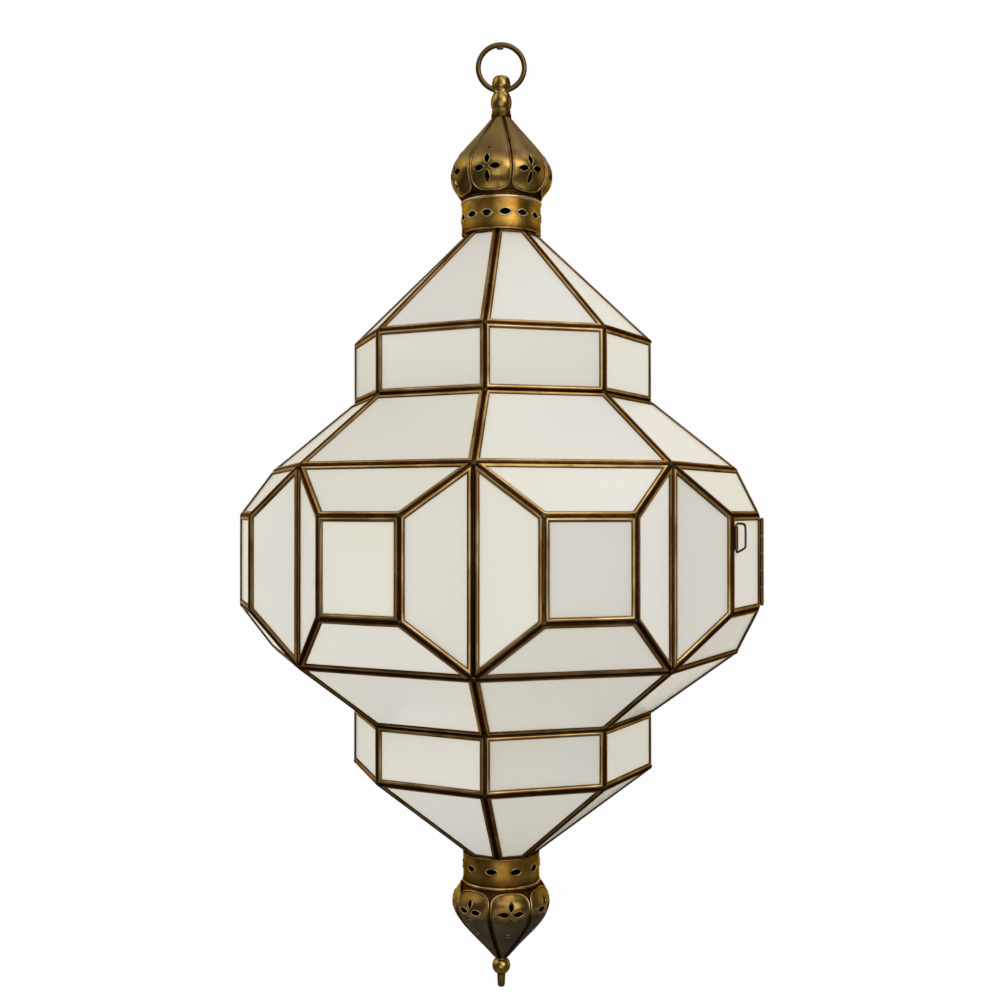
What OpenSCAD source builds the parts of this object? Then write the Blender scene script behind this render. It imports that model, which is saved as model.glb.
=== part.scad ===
// Octagonal glass pendant lantern: panes of opal glass in soldered brass channel,
// between two pierced brass domes, with one square pane hinged as a door.
// The origin is where the hook meets the inside of the hanging ring.
// The door faces -Y. An azimuth is counted from -Y towards +X.

/* [Hanging ring] */
// Outside diameter of the hanging ring
ring_outer_d = 49; // [42:1:70]
// Diameter of the ring's wire
ring_wire_d = 5; // [4:0.5:6]
// Azimuth that the ring's flat side faces
ring_azimuth = -62; // [-90:1:90]

/* [Knob] */
// Height of the knob above the ring's hole
knob_above = 13.8; // [11:0.2:18]
// Height of the knob below the ring's hole
knob_below = 27; // [24:0.5:36]
// Radius of the knob's head, around the ring's hole
knob_head_r = 9.2; // [8.6:0.1:12]
// Radius of the knob's waist, at the ring's hole
knob_waist_r = 7.8; // [7.2:0.1:8.5]
// Radius of the knob's middle bead
knob_bead_r = 10.1; // [9.4:0.1:13]
// Radius of the knob's foot
knob_foot_r = 9.7; // [9.2:0.1:13]
// Depth of the knob's spigot in the neck of the dome
spigot_depth = 7; // [4:0.5:10]

/* [Stem] */
// Diameter of the hollow threaded stem
stem_d = 10; // [9:0.5:10.5]
// Bore of the stem, for the cable
stem_bore_d = 7; // [5:0.5:7.5]
// Height of the stem's lower end below the top plate
stem_drop = 192; // [150:1:210]
// Width across the flats of the stem's nuts
nut_flats = 17; // [15:0.5:19]
// Height of a stem nut
nut_h = 6; // [4:0.5:8]

/* [Domes] */
// Number of gores round each dome
gores = 7; // [6:1:8]
// Thickness of the sheet brass
sheet = 0.8; // [0.6:0.1:1.2]
// How far a gore's middle stands out beyond its edges
gore_crown = 1; // [0.4:0.1:2]
// Width of the strip over each seam
seam_w = 2.4; // [1.6:0.1:3]
// How far a seam strip stands out
seam_proud = 0.5; // [0.2:0.1:0.8]
// Radius of the top dome's neck
top_neck_r = 9; // [8.8:0.1:10]
// Largest radius of the top dome
top_dome_r = 48.3; // [44:0.1:56]
// Height of the top dome above its widest ring
top_dome_above = 56; // [46:0.5:66]
// Height of the top dome below its widest ring
top_dome_below = 21; // [16:0.5:28]
// Azimuth of the middle of a top gore
top_gore_azimuth = 27.6; // [0:0.1:51]
// Largest radius of the bottom dome
bottom_dome_r = 46.1; // [42:0.1:54]
// Height of the bottom dome above its widest ring
bottom_dome_above = 18.6; // [14:0.2:26]
// Height of the bottom dome below its widest ring
bottom_dome_below = 53.2; // [42:0.1:62]
// Radius of the bottom dome's neck
bottom_neck_r = 6; // [5:0.1:8]
// Azimuth of the middle of a bottom gore
bottom_gore_azimuth = 1.2; // [0:0.1:51]
// Length of a petal in the pierced rosettes
petal_l = 10; // [7:0.5:11]
// Width of a petal
petal_w = 4.4; // [3:0.1:5]
// Clear distance from a rosette's centre to its petals
petal_gap = 2.2; // [1.4:0.1:3]

/* [Collars] */
// Outside radius of the top collar
top_collar_r = 37.7; // [36.5:0.1:42]
// Height of the top collar
top_collar_h = 32.5; // [26:0.5:40]
// Number of places round the top collar, one of them the cable's
top_collar_places = 14; // [10:1:16]
// Outside radius of the bottom collar
bottom_collar_r = 36.2; // [35.9:0.1:40]
// Height of the bottom collar
bottom_collar_h = 25.6; // [22:0.2:34]
// Number of eyes round the bottom collar
bottom_collar_eyes = 10; // [8:1:12]
// Wall of the collars
collar_wall = 1.2; // [0.8:0.1:1.6]
// Length of an eye cut in a collar
eye_l = 8.3; // [6:0.1:9]
// Height of an eye
eye_h = 4.6; // [3:0.1:5.5]
// Wire diameter of the bead rings at the collars
bead_d = 3.2; // [2.4:0.1:4]
// Thickness of the plates inside the collars
plate_t = 1.5; // [1:0.1:2.5]
// How far each collar laps over the glass body
collar_lap = 2; // [1:0.1:2.4]

/* [Cable inlet] */
// Bore of the cable grommet
cable_bore_d = 6.6; // [5:0.1:7]
// Azimuth of the cable grommet
cable_azimuth = 130; // [90:1:170]

/* [Glass body] */
// Corner radius where the cones meet the collars
cone_end_r = 33.5; // [32:0.1:34]
// Corner radius of the two straight bands
band_r = 142.2; // [120:0.2:165]
// Corner radius of the belt's two rings
belt_r = 222; // [205:1:240]
// Height of the upper cone
upper_cone_h = 103.2; // [85:0.2:125]
// Height of the upper band
upper_band_h = 57.2; // [40:0.2:75]
// Height of the upper shoulder
upper_shoulder_h = 64.2; // [50:0.2:80]
// Height of the belt
belt_h = 171.3; // [150:0.1:195]
// Height of the lower shoulder
lower_shoulder_h = 57.5; // [45:0.5:75]
// Height of the lower band
lower_band_h = 51.6; // [38:0.2:70]
// Height of the lower cone
lower_cone_h = 82.1; // [65:0.1:100]
// Width of the square panes
square_w = 77.6; // [70:0.2:90]
// Height of the square panes
square_h = 83.4; // [74:0.2:92]
// Distance from the belt's upper ring down to the square panes
square_drop = 42.4; // [36:0.2:50]
// How far the square panes stand out beyond the belt's rings
square_out = 36.1; // [26:0.1:46]

/* [Brass channel] */
// Width of the channel's face
came_w = 4.6; // [3.8:0.1:5.5]
// Thickness of the channel's metal
came_t = 0.8; // [0.6:0.1:1]
// How far the channel's face is crowned
came_crown = 0.55; // [0.2:0.05:0.8]
// Half of the gap between two neighbouring channels
came_gap = 0.15; // [0.1:0.05:0.3]
// Thickness of the glass
glass_t = 2.5; // [2:0.1:3]
// Clearance round the glass in its channel
glass_clear = 0.1; // [0.05:0.05:0.2]

/* [Door] */
// Gap round the door's channel
door_gap = 0.4; // [0.3:0.05:0.6]
// Outside diameter of the hinge barrels
barrel_d = 3.2; // [2.8:0.1:3.4]
// Diameter of the hinge pin
hinge_pin_d = 1.6; // [1.2:0.1:1.8]
// Radial clearance of the hinge pin and the pull's wire
running_clear = 0.07; // [0.03:0.01:0.1]
// Number of hinge knuckles, the door's and the frame's in turn
knuckles = 5; // [3:2:7]
// Length of one knuckle
knuckle_l = 15; // [8:0.5:16]
// Gap between two knuckles
knuckle_gap = 0.3; // [0.2:0.1:0.6]

/* [Door pull] */
// Wire diameter of the pull
pull_wire_d = 2; // [1.6:0.1:2.2]
// Outside diameter of the pull's tube
pull_tube_d = 3.2; // [3:0.1:3.6]
// Height of the pull where it enters its tube
pull_h = 24; // [18:0.5:30]
// How far the pull reaches from its tube
pull_reach = 12.5; // [9:0.5:16]
// Distance of the pull's upper leg below the top of the door
pull_drop = 7.1; // [5:0.1:20]
// Angle between the pull and the pane at rest
pull_rest_angle = 20; // [14:1:40]

/* [Lamp holder] */
// Outside radius of the lamp holder
holder_r = 20; // [18:0.5:24]
// Radius of the thread shell's bore
shell_bore_r = 13.3; // [13:0.1:14]
// Length of the thread shell
shell_l = 24; // [20:0.5:28]
// Height of the holder's cap
holder_cap_h = 22; // [18:0.5:28]

/* [Finial] */
// Radius of the ball under the bottom dome
ball_r = 8.6; // [7.8:0.1:11]
// Radius of the pin under the ball
stub_r = 3.7; // [3.2:0.1:5]
// Length of the pin below the ball's centre
stub_l = 20.4; // [16:0.2:30]
// Diameter of the tie rod in the bottom dome
tie_rod_d = 6; // [5:0.5:7]

/* [Hidden] */

// Sides of the glass body, as many as its belt has places
sides = 8;
// Gap between two pieces that are seated on each other
seat = 0.05;
// Overlap of a cutter past the face that it cuts
past = 1;
// Facets of round parts
round_fn = 96;
fine_fn = 32;

ring_r = (ring_outer_d - ring_wire_d) / 2;
ring_inner_r = ring_r - ring_wire_d / 2;
z_ring = -ring_inner_r;
z_hole = z_ring - ring_r;
z_knob_top = z_hole + knob_above;
z_knob_foot = z_hole - knob_below;

z_top_dome = z_knob_foot - seat;
z_top_wide = z_top_dome - top_dome_above;
z_top_dome_base = z_top_wide - top_dome_below;
z_top_bead = z_top_dome_base - seat - bead_d / 2;
z_top_collar = z_top_bead - bead_d / 2 - seat;
z_top_collar_base = z_top_collar - top_collar_h;
top_bead_r = top_collar_r - collar_wall / 2;

// Each collar goes down over its cone by the lap, or until its bore meets the corners.
lap_clear = 0.3;
upper_slope = (band_r - cone_end_r) / upper_cone_h;
top_lap = min(collar_lap, (top_collar_r - collar_wall - lap_clear - cone_end_r) / upper_slope);
z_cone_top = z_top_collar_base + top_lap;
z_cone_base = z_cone_top - upper_cone_h;
z_band_base = z_cone_base - upper_band_h;
z_belt_top = z_band_base - upper_shoulder_h;
z_belt_base = z_belt_top - belt_h;
z_lower_band = z_belt_base - lower_shoulder_h;
z_lower_band_base = z_lower_band - lower_band_h;
z_lower_cone_end = z_lower_band_base - lower_cone_h;

lower_slope = (band_r - cone_end_r) / lower_cone_h;
bottom_lap = min(collar_lap, (bottom_collar_r - collar_wall - lap_clear - cone_end_r) / lower_slope);
z_bottom_collar = z_lower_cone_end + bottom_lap;
z_bottom_collar_base = z_bottom_collar - bottom_collar_h;
z_bottom_bead = z_bottom_collar_base - seat - bead_d / 2;
z_bottom_dome = z_bottom_bead - bead_d / 2 - seat;
z_bottom_wide = z_bottom_dome - bottom_dome_above;
z_bottom_neck = z_bottom_wide - bottom_dome_below;
bottom_bead_r = bottom_collar_r - collar_wall / 2;

half_side = 180 / sides;
belt_apothem = belt_r * cos(half_side);
square_apothem = belt_apothem + square_out;
z_square_top = z_belt_top - square_drop;
z_square_base = z_square_top - square_h;
came_depth = glass_t + 2 * (came_t + glass_clear);
came_web = came_t - 0.2;

// The top plate rests on the upper cone, and the stem hangs from it.
// Metal between the stem's upper end and the hanging ring
stem_cover = 6.5;
z_top_plate = z_cone_top + seat;
z_stem_top = z_hole - ring_wire_d / 2 - stem_cover;
z_stem_end = z_cone_top - stem_drop;
stem_grip = 8;
z_holder = z_stem_end + stem_grip;
z_block = z_holder - holder_cap_h;
z_shell = z_block - 1;
z_holder_end = z_shell - shell_l - 2;
holder_wall = 2;
block_h = 7;
contact_r = 4;
contact_t = 1.2;
contact_recess = 2.4;
shell_t = 1;

// The cable comes in at mid height of the top collar.
z_cable = z_top_collar_base + top_collar_h / 2;
cable_body_r = cable_bore_d / 2 + 1.3;
cable_flange_r = cable_body_r + 1.6;
cable_flange_t = 1.6;
cable_inside = sqrt(pow(top_collar_r - collar_wall, 2) - pow(cable_flange_r, 2)) - seat;

// The hinge lies outside the door's right edge, on the bisector of its two faces.
edge_turn = atan2(square_out, belt_r * sin(half_side) - square_w / 2);
hinge_out = barrel_d / 2 - 0.1;
hinge_x = square_w / 2 + hinge_out * sin(edge_turn / 2);
hinge_y = -square_apothem - hinge_out * cos(edge_turn / 2);
hinge_l = knuckles * knuckle_l + (knuckles - 1) * knuckle_gap;
z_hinge_base = z_square_base + (square_h - hinge_l) / 2;

pull_x = -square_w / 2 + door_gap + came_w / 2;
pull_y = -square_apothem - came_crown - pull_tube_d / 2 - seat;
z_pull = z_square_top - pull_drop;
pull_tube_l = pull_h - 2 * pull_wire_d;

brass = [0.55, 0.40, 0.18];
warm_brass = [0.70, 0.52, 0.25];
dark_brass = [0.36, 0.26, 0.13];
opal = [0.87, 0.85, 0.80];

// Point at a radius, an azimuth and a height
function polar(r, a, z) = [r * sin(a), -r * cos(a), z];

// Point on a cubic curve through its first and last points
function curve(p, t) =
    pow(1 - t, 3) * p[0] + 3 * t * pow(1 - t, 2) * p[1]
    + 3 * t * t * (1 - t) * p[2] + pow(t, 3) * p[3];

// The four-cornered faces of the glass body on the door's side.
// Corners run anticlockwise as seen from outside, from the lower left.
function tier(r_low, z_low, r_high, z_high, a = 0) = [
    polar(r_low, a - half_side, z_low), polar(r_low, a + half_side, z_low),
    polar(r_high, a + half_side, z_high), polar(r_high, a - half_side, z_high)
];
function turned(face, a) =
    [for (p = face) [p.x * cos(a) - p.y * sin(a), p.x * sin(a) + p.y * cos(a), p.z]];

upper_cone = tier(band_r, z_cone_base, cone_end_r, z_cone_top);
upper_band = tier(band_r, z_band_base, band_r, z_cone_base);
upper_shoulder = tier(belt_r, z_belt_top, band_r, z_band_base);
lower_shoulder = tier(band_r, z_lower_band, belt_r, z_belt_base);
lower_band = tier(band_r, z_lower_band_base, band_r, z_lower_band);
lower_cone = tier(cone_end_r, z_lower_cone_end, band_r, z_lower_band_base);

square_face = [
    [-square_w / 2, -square_apothem, z_square_base], [square_w / 2, -square_apothem, z_square_base],
    [square_w / 2, -square_apothem, z_square_top], [-square_w / 2, -square_apothem, z_square_top]
];
belt_ring = tier(belt_r, z_belt_base, belt_r, z_belt_top);
upper_face = [square_face[3], square_face[2], belt_ring[2], belt_ring[3]];
lower_face = [belt_ring[0], belt_ring[1], square_face[1], square_face[0]];
left_face = [belt_ring[0], square_face[0], square_face[3], belt_ring[3]];
right_face = [square_face[1], belt_ring[1], belt_ring[2], square_face[2]];

// Axes of a face: along its first edge, up its plane, and outwards
function unit(v) = v / norm(v);
function outward(f) = unit(cross(f[1] - f[0], f[3] - f[0]));
function along(f) = unit(f[1] - f[0]);
function upward(f) = cross(outward(f), along(f));
function flat_points(f) = [for (p = f) [(p - f[0]) * along(f), (p - f[0]) * upward(f)]];
function middle(f) = (f[0] + f[1] + f[2] + f[3]) / 4;

// Slope of the mitre between a face and its neighbour, 0 where they open inwards
function mitre(f, other) =
    len(other) == 0 ? 0
    : (middle(other) - middle(f)) * outward(f) > -0.001 ? 0
    : tan(acos(min(1, outward(f) * outward(other))) / 2);

// Corner k of a flat outline, with the edges before and after it moved inwards
function edge_normal(p, k) =
    let (e = unit(p[(k + 1) % 4] - p[k % 4])) [-e.y, e.x];
function inset_corner(p, k, before, after) =
    let (
        m = edge_normal(p, k + 3), n = edge_normal(p, k),
        a = p[k] * m + before, b = p[k] * n + after,
        d = m.x * n.y - m.y * n.x
    ) [(a * n.y - b * m.y) / d, (b * m.x - a * n.x) / d];

// Channel section: distance in from the edge, depth, and share of the mitre
function came_section(gap) = [
    [gap, came_depth, 1], [gap, came_t * 0.45, 1],
    [gap + came_w * 0.12, -came_crown * 0.45, 0], [gap + came_w * 0.46, -came_crown, 0],
    [came_w - 0.4, -came_crown * 0.45, 0], [came_w, came_t * 0.15, 0],
    [came_w, came_t, 0], [gap + came_web, came_t, 1],
    [gap + came_web, came_depth - came_t, 1], [came_w, came_depth - came_t, 0],
    [came_w, came_depth, 0]
];

// Brass channel bent round a pane and mitred at its corners
module came(face, others, gap = came_gap) {
    flat = flat_points(face);
    slopes = [for (other = others) mitre(face, other)];
    section = came_section(gap);
    count = len(section);
    function inset(s, k) = s[0] + s[2] * s[1] * slopes[k % 4];
    points = [
        for (k = [0:3], s = section)
            let (c = inset_corner(flat, k, inset(s, k + 3), inset(s, k)))
            face[0] + along(face) * c.x + upward(face) * c.y - outward(face) * s[1]
    ];
    faces = [
        for (k = [0:3], j = [0:count - 1])
            [k * count + j, ((k + 1) % 4) * count + j,
             ((k + 1) % 4) * count + (j + 1) % count, k * count + (j + 1) % count]
    ];
    polyhedron(points, faces);
}

// Pane of glass that fits inside the channel of the same face
module pane(face, others, gap = came_gap) {
    flat = flat_points(face);
    edge = gap + came_web + glass_clear;
    deep = came_depth - came_t - glass_clear;
    insets = [for (other = others) edge + deep * mitre(face, other)];
    u = along(face);
    v = upward(face);
    n = outward(face);
    origin = face[0] - n * deep;
    multmatrix([
        [u.x, v.x, n.x, origin.x],
        [u.y, v.y, n.y, origin.y],
        [u.z, v.z, n.z, origin.z]
    ])
        linear_extrude(glass_t)
            polygon([for (k = [0:3]) inset_corner(flat, k, insets[(k + 3) % 4], insets[k])]);
}

module tier_cames(face, below, above)
    color(brass)
        for (i = [0:sides - 1])
            rotate([0, 0, i * 360 / sides])
                came(face, [below, turned(face, 360 / sides), above, turned(face, -360 / sides)]);

module tier_glass(face, below, above)
    color(opal)
        for (i = [0:sides - 1])
            rotate([0, 0, i * 360 / sides])
                pane(face, [below, turned(face, 360 / sides), above, turned(face, -360 / sides)]);

square_others = [lower_face, right_face, upper_face, left_face];
upper_others = [square_face, right_face, upper_shoulder, left_face];
lower_others = [lower_shoulder, right_face, square_face, left_face];
left_others = [lower_face, square_face, upper_face, turned(right_face, -360 / sides)];
right_others = [lower_face, turned(left_face, 360 / sides), upper_face, square_face];

// Place 0 on the belt has the door in the place of its square pane.
module belt_cames(place)
    color(brass)
        rotate([0, 0, place * 360 / sides]) {
            if (place > 0) came(square_face, square_others);
            came(upper_face, upper_others);
            came(lower_face, lower_others);
            came(left_face, left_others);
            came(right_face, right_others);
        }

module belt_glass(place)
    color(opal)
        rotate([0, 0, place * 360 / sides]) {
            if (place > 0) pane(square_face, square_others);
            pane(upper_face, upper_others);
            pane(lower_face, lower_others);
            pane(left_face, left_others);
            pane(right_face, right_others);
        }

module upper_cone_cames() tier_cames(upper_cone, upper_band, []);
module upper_cone_glass() tier_glass(upper_cone, upper_band, []);
module upper_band_cames() tier_cames(upper_band, upper_shoulder, upper_cone);
module upper_band_glass() tier_glass(upper_band, upper_shoulder, upper_cone);
module upper_shoulder_cames() tier_cames(upper_shoulder, upper_face, upper_band);
module upper_shoulder_glass() tier_glass(upper_shoulder, upper_face, upper_band);
module lower_shoulder_cames() tier_cames(lower_shoulder, lower_band, lower_face);
module lower_shoulder_glass() tier_glass(lower_shoulder, lower_band, lower_face);
module lower_band_cames() tier_cames(lower_band, lower_cone, lower_shoulder);
module lower_band_glass() tier_glass(lower_band, lower_cone, lower_shoulder);
module lower_cone_cames() tier_cames(lower_cone, [], lower_band);
module lower_cone_glass() tier_glass(lower_cone, [], lower_band);

module hanging_ring()
    color(brass)
        translate([0, 0, z_ring])
            rotate([90, 0, ring_azimuth])
                rotate_extrude($fn = round_fn)
                    translate([ring_r, 0])
                        circle(d = ring_wire_d, $fn = fine_fn);

// The ring's hole flares towards its mouths, as the ring's own curve does.
hole_half = knob_head_r + past;
function hole_r(x) = ring_r - sqrt(pow(ring_inner_r, 2) - x * x) + running_clear;
module ring_hole() {
    steps = 12;
    at = [for (i = [0:steps]) hole_half * (2 * i / steps - 1)];
    translate([0, 0, z_hole])
        rotate([0, 90, ring_azimuth])
            rotate_extrude($fn = fine_fn)
                polygon(concat(
                    [[0, -hole_half]], [for (x = at) [hole_r(x), x]], [[0, hole_half]]));
}

module finial_knob() {
    low = z_knob_foot;
    step = knob_below / 27;
    color(brass)
        difference() {
            rotate_extrude($fn = round_fn)
                polygon(concat(
                    [[0, z_knob_top]],
                    [for (a = [75:-15:0])
                        [knob_head_r * cos(a) * 0.96, z_knob_top - 4 + 4 * sin(a)]],
                    [[knob_head_r, z_knob_top - 7], [knob_waist_r, z_hole + 2],
                     [knob_waist_r, z_hole - 1.5], [knob_head_r - 0.3, z_hole - 6 * step],
                     [knob_bead_r - 0.2, z_hole - 9 * step], [knob_bead_r, z_hole - 12 * step],
                     [knob_bead_r - 0.2, z_hole - 14.5 * step], [knob_head_r - 0.6, z_hole - 17 * step],
                     [knob_head_r - 0.6, z_hole - 20.5 * step], [knob_foot_r, z_hole - 22.5 * step],
                     [knob_foot_r, low], [top_neck_r - sheet * 2 - 0.35, low],
                     [top_neck_r - sheet * 2 - 0.35, low - spigot_depth], [0, low - spigot_depth]]));
            ring_hole();
            translate([0, 0, low - spigot_depth - past])
                cylinder(r = stem_d / 2 + seat, h = z_stem_top + 1 - low + spigot_depth + past, $fn = round_fn);
        }
}

module stem_tube()
    color(brass)
        difference() {
            translate([0, 0, z_stem_end])
                cylinder(d = stem_d, h = z_stem_top - z_stem_end, $fn = round_fn);
            translate([0, 0, z_stem_end - past])
                cylinder(d = stem_bore_d, h = z_stem_top - z_stem_end - 4 + past, $fn = round_fn);
            translate([0, 0, z_cable])
                rotate([0, 90, cable_azimuth - 90])
                    cylinder(d = stem_bore_d - 0.5, h = stem_d, $fn = fine_fn);
        }

module hex_nut(z, flats, bore, h)
    translate([0, 0, z])
        difference() {
            cylinder(r = flats / 2 / cos(30), h = h, $fn = 6);
            translate([0, 0, -past])
                cylinder(r = bore / 2 + seat, h = h + 2 * past, $fn = round_fn);
        }

// One nut clamps the top plate and one locks the lamp holder.
module stem_nuts()
    color("goldenrod") {
        hex_nut(z_top_plate - seat - nut_h, nut_flats, stem_d, nut_h);
        hex_nut(z_holder + seat, nut_flats, stem_d, nut_h);
    }

// Outline of a dome from its neck, each row a radius and a height
row_steps = 5;
function dome_rows(neck_r, z_neck, wide_r, z_wide, base_r, z_base) = concat(
    [for (i = [0:row_steps - 1])
        curve([[neck_r, z_neck], [neck_r + 0.66 * (wide_r - neck_r), z_neck + 0.55 * (z_wide - z_neck)],
               [wide_r, z_wide - 0.27 * (z_wide - z_neck)], [wide_r, z_wide]], i / row_steps)],
    [for (i = [0:row_steps - 1])
        curve([[wide_r, z_wide], [wide_r, z_wide + 0.49 * (z_base - z_wide)],
               [base_r + 0.49 * (wide_r - base_r), z_wide + 0.74 * (z_base - z_wide)], [base_r, z_base]],
              i / (row_steps - 1))]
);
top_rows = dome_rows(top_neck_r, z_top_dome, top_dome_r, z_top_wide,
    top_bead_r + bead_d / 4, z_top_dome_base);
bottom_rows = dome_rows(bottom_neck_r, z_bottom_neck, bottom_dome_r, z_bottom_wide,
    bottom_bead_r + bead_d / 4, z_bottom_dome);

// Unit normal of the outline at a row, away from the axis
function row_normal(rows, i) =
    let (a = rows[max(0, i - 1)], b = rows[min(len(rows) - 1, i + 1)], e = unit(b - a),
         n = [abs(e.y), (b.y > a.y ? -1 : 1) * e.x])
    n;

// Sheet gore between two seams, with its middle crowned
gore_columns = 4;
module gore(rows) {
    half = 180 / gores;
    wide = max([for (row = rows) row.x]);
    count = gore_columns + 1;
    last = len(rows) - 1;
    flip = rows[0].y > rows[last].y;
    function edge(i) = half - asin((seam_w / 2 + 0.15) / rows[i].x);
    function grid(depth) = [
        for (i = [0:last], j = [0:gore_columns])
            let (a = edge(i) * (2 * j / gore_columns - 1), n = row_normal(rows, i),
                 sunk = gore_crown * rows[i].x / wide * pow(a / half, 2),
                 end = i == 0 || i == last)
            polar(rows[i].x - sunk - depth * (end ? 1 : n.x), a, rows[i].y - depth * (end ? 0 : n.y))
    ];
    half_count = (last + 1) * count;
    points = concat(grid(0), grid(sheet));
    skin = [for (i = [0:last - 1], j = [0:gore_columns - 1])
        let (a = i * count + j, b = a + 1, c = a + count, d = c + 1)
        each [[a, b, c], [b, d, c]]];
    lining = [for (f = skin) [f[0], f[2], f[1]] + half_count * [1, 1, 1]];
    rim = concat(
        [for (j = [0:gore_columns - 1]) [j, j + 1]],
        [for (i = [0:last - 1]) [i * count + gore_columns, (i + 1) * count + gore_columns]],
        [for (j = [gore_columns:-1:1]) [last * count + j, last * count + j - 1]],
        [for (i = [last:-1:1]) [i * count, (i - 1) * count]]
    );
    wall = [for (e = rim) each [[e[0], e[0] + half_count, e[1]], [e[1], e[0] + half_count, e[1] + half_count]]];
    faces = concat(skin, lining, wall);
    polyhedron(points, flip ? faces : [for (f = faces) [f[0], f[2], f[1]]]);
}

// Strip along a seam, following the same rows
module seam(rows) {
    wide = max([for (row = rows) row.x]);
    last = len(rows) - 1;
    flip = rows[0].y > rows[last].y;
    points = [for (i = [0:last])
        let (r = rows[i].x - gore_crown * rows[i].x / wide, w = seam_w / 2, z = rows[i].y)
        each [[-w, -r - seam_proud, z], [w, -r - seam_proud, z], [w, -r + sheet, z], [-w, -r + sheet, z]]];
    sides_faces = [for (i = [0:last - 1], j = [0:3])
        let (a = i * 4 + j, b = i * 4 + (j + 1) % 4) each [[a, b, a + 4], [b, b + 4, a + 4]]];
    faces = concat(sides_faces, [[3, 2, 1, 0]], [[last * 4, last * 4 + 1, last * 4 + 2, last * 4 + 3]]);
    polyhedron(points, flip ? faces : [for (f = faces) [for (k = [len(f) - 1:-1:0]) f[k]]]);
}

// Pointed petal, cut along the radius from outside the sheet
cut_depth = 10;
module petal(length, width)
    hull() {
        for (side = [-1, 1])
            translate([side * (length - width) / 4, 0, 0])
                cylinder(d = width, h = cut_depth, $fn = 8);
        for (side = [-1, 1])
            translate([side * length / 2, 0, 0])
                cylinder(d = 0.3, h = cut_depth, $fn = 4);
    }

// Rosette of petals at a height on the front of a dome, with an eye towards the neck
module rosette(r, z_rosette, z_eye, eye_r) {
    reach = petal_gap + petal_l / 2;
    for (turn = [0, 90, 180, 270])
        translate([0, -r + cut_depth / 2 + past, z_rosette])
            rotate([90, 0, 0])
                rotate([0, 0, turn])
                    translate([reach, 0, 0])
                        petal(petal_l, petal_w);
    translate([0, -eye_r + cut_depth / 2 + past, z_eye])
        rotate([90, 0, 0])
            petal(petal_l * 0.55, petal_w * 0.55);
}

module dome_gores(rows, azimuth, r, z_rosette, z_eye, eye_r)
    for (i = [0:gores - 1])
        rotate([0, 0, azimuth + i * 360 / gores])
            difference() {
                gore(rows);
                rosette(r, z_rosette, z_eye, eye_r);
            }

module dome_seams(rows, azimuth)
    for (i = [0:gores - 1])
        rotate([0, 0, azimuth + (i + 0.5) * 360 / gores])
            seam(rows);

// Place of each rosette under its dome's widest ring, and of the eye towards the neck
top_rosette_drop = 1.5;
top_eye_rise = 18;
top_eye_inset = 8;
bottom_rosette_drop = 1;
bottom_eye_drop = 22;
bottom_eye_inset = 10;
module top_dome_gores()
    color(dark_brass)
        dome_gores(top_rows, top_gore_azimuth, top_dome_r, z_top_wide - top_rosette_drop,
            z_top_wide + top_eye_rise, top_dome_r - top_eye_inset);
module top_dome_seams()
    color(warm_brass)
        dome_seams(top_rows, top_gore_azimuth);
module bottom_dome_gores()
    color(dark_brass)
        dome_gores(bottom_rows, bottom_gore_azimuth, bottom_dome_r,
            z_bottom_wide - bottom_rosette_drop,
            z_bottom_wide - bottom_eye_drop, bottom_dome_r - bottom_eye_inset);
module bottom_dome_seams()
    color(warm_brass)
        dome_seams(bottom_rows, bottom_gore_azimuth);

module bead(r, z)
    color(warm_brass)
        translate([0, 0, z])
            rotate_extrude($fn = round_fn)
                translate([r, 0])
                    circle(d = bead_d, $fn = fine_fn);
module top_bead() bead(top_bead_r, z_top_bead);
module bottom_bead() bead(bottom_bead_r, z_bottom_bead);

// Pointed eye, where two round cutters cross
module eye_cut(r, z) {
    arc_r = (pow(eye_l / 2, 2) + pow(eye_h / 2, 2)) / eye_h;
    intersection_for (side = [-1, 1])
        translate([0, -r - past, z + side * (arc_r - eye_h / 2)])
            rotate([-90, 0, 0])
                cylinder(r = arc_r, h = collar_wall + 2 * past + 2, $fn = round_fn);
}

module collar_tube(r, z, h)
    difference() {
        translate([0, 0, z])
            cylinder(r = r, h = h, $fn = round_fn);
        translate([0, 0, z - past])
            cylinder(r = r - collar_wall, h = h + 2 * past, $fn = round_fn);
    }

module top_collar()
    color(warm_brass)
        difference() {
            collar_tube(top_collar_r, z_top_collar_base, top_collar_h);
            for (i = [1:top_collar_places - 1])
                rotate([0, 0, cable_azimuth + i * 360 / top_collar_places])
                    eye_cut(top_collar_r, z_cable);
            translate([0, 0, z_cable])
                rotate([0, 90, cable_azimuth - 90])
                    cylinder(r = cable_body_r + seat, h = top_collar_r + past, $fn = round_fn);
        }

module bottom_collar()
    color(warm_brass)
        difference() {
            collar_tube(bottom_collar_r, z_bottom_collar_base, bottom_collar_h);
            for (i = [0:bottom_collar_eyes - 1])
                rotate([0, 0, bottom_gore_azimuth + i * 360 / bottom_collar_eyes])
                    eye_cut(bottom_collar_r, z_bottom_collar_base + bottom_collar_h / 2);
        }

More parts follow.
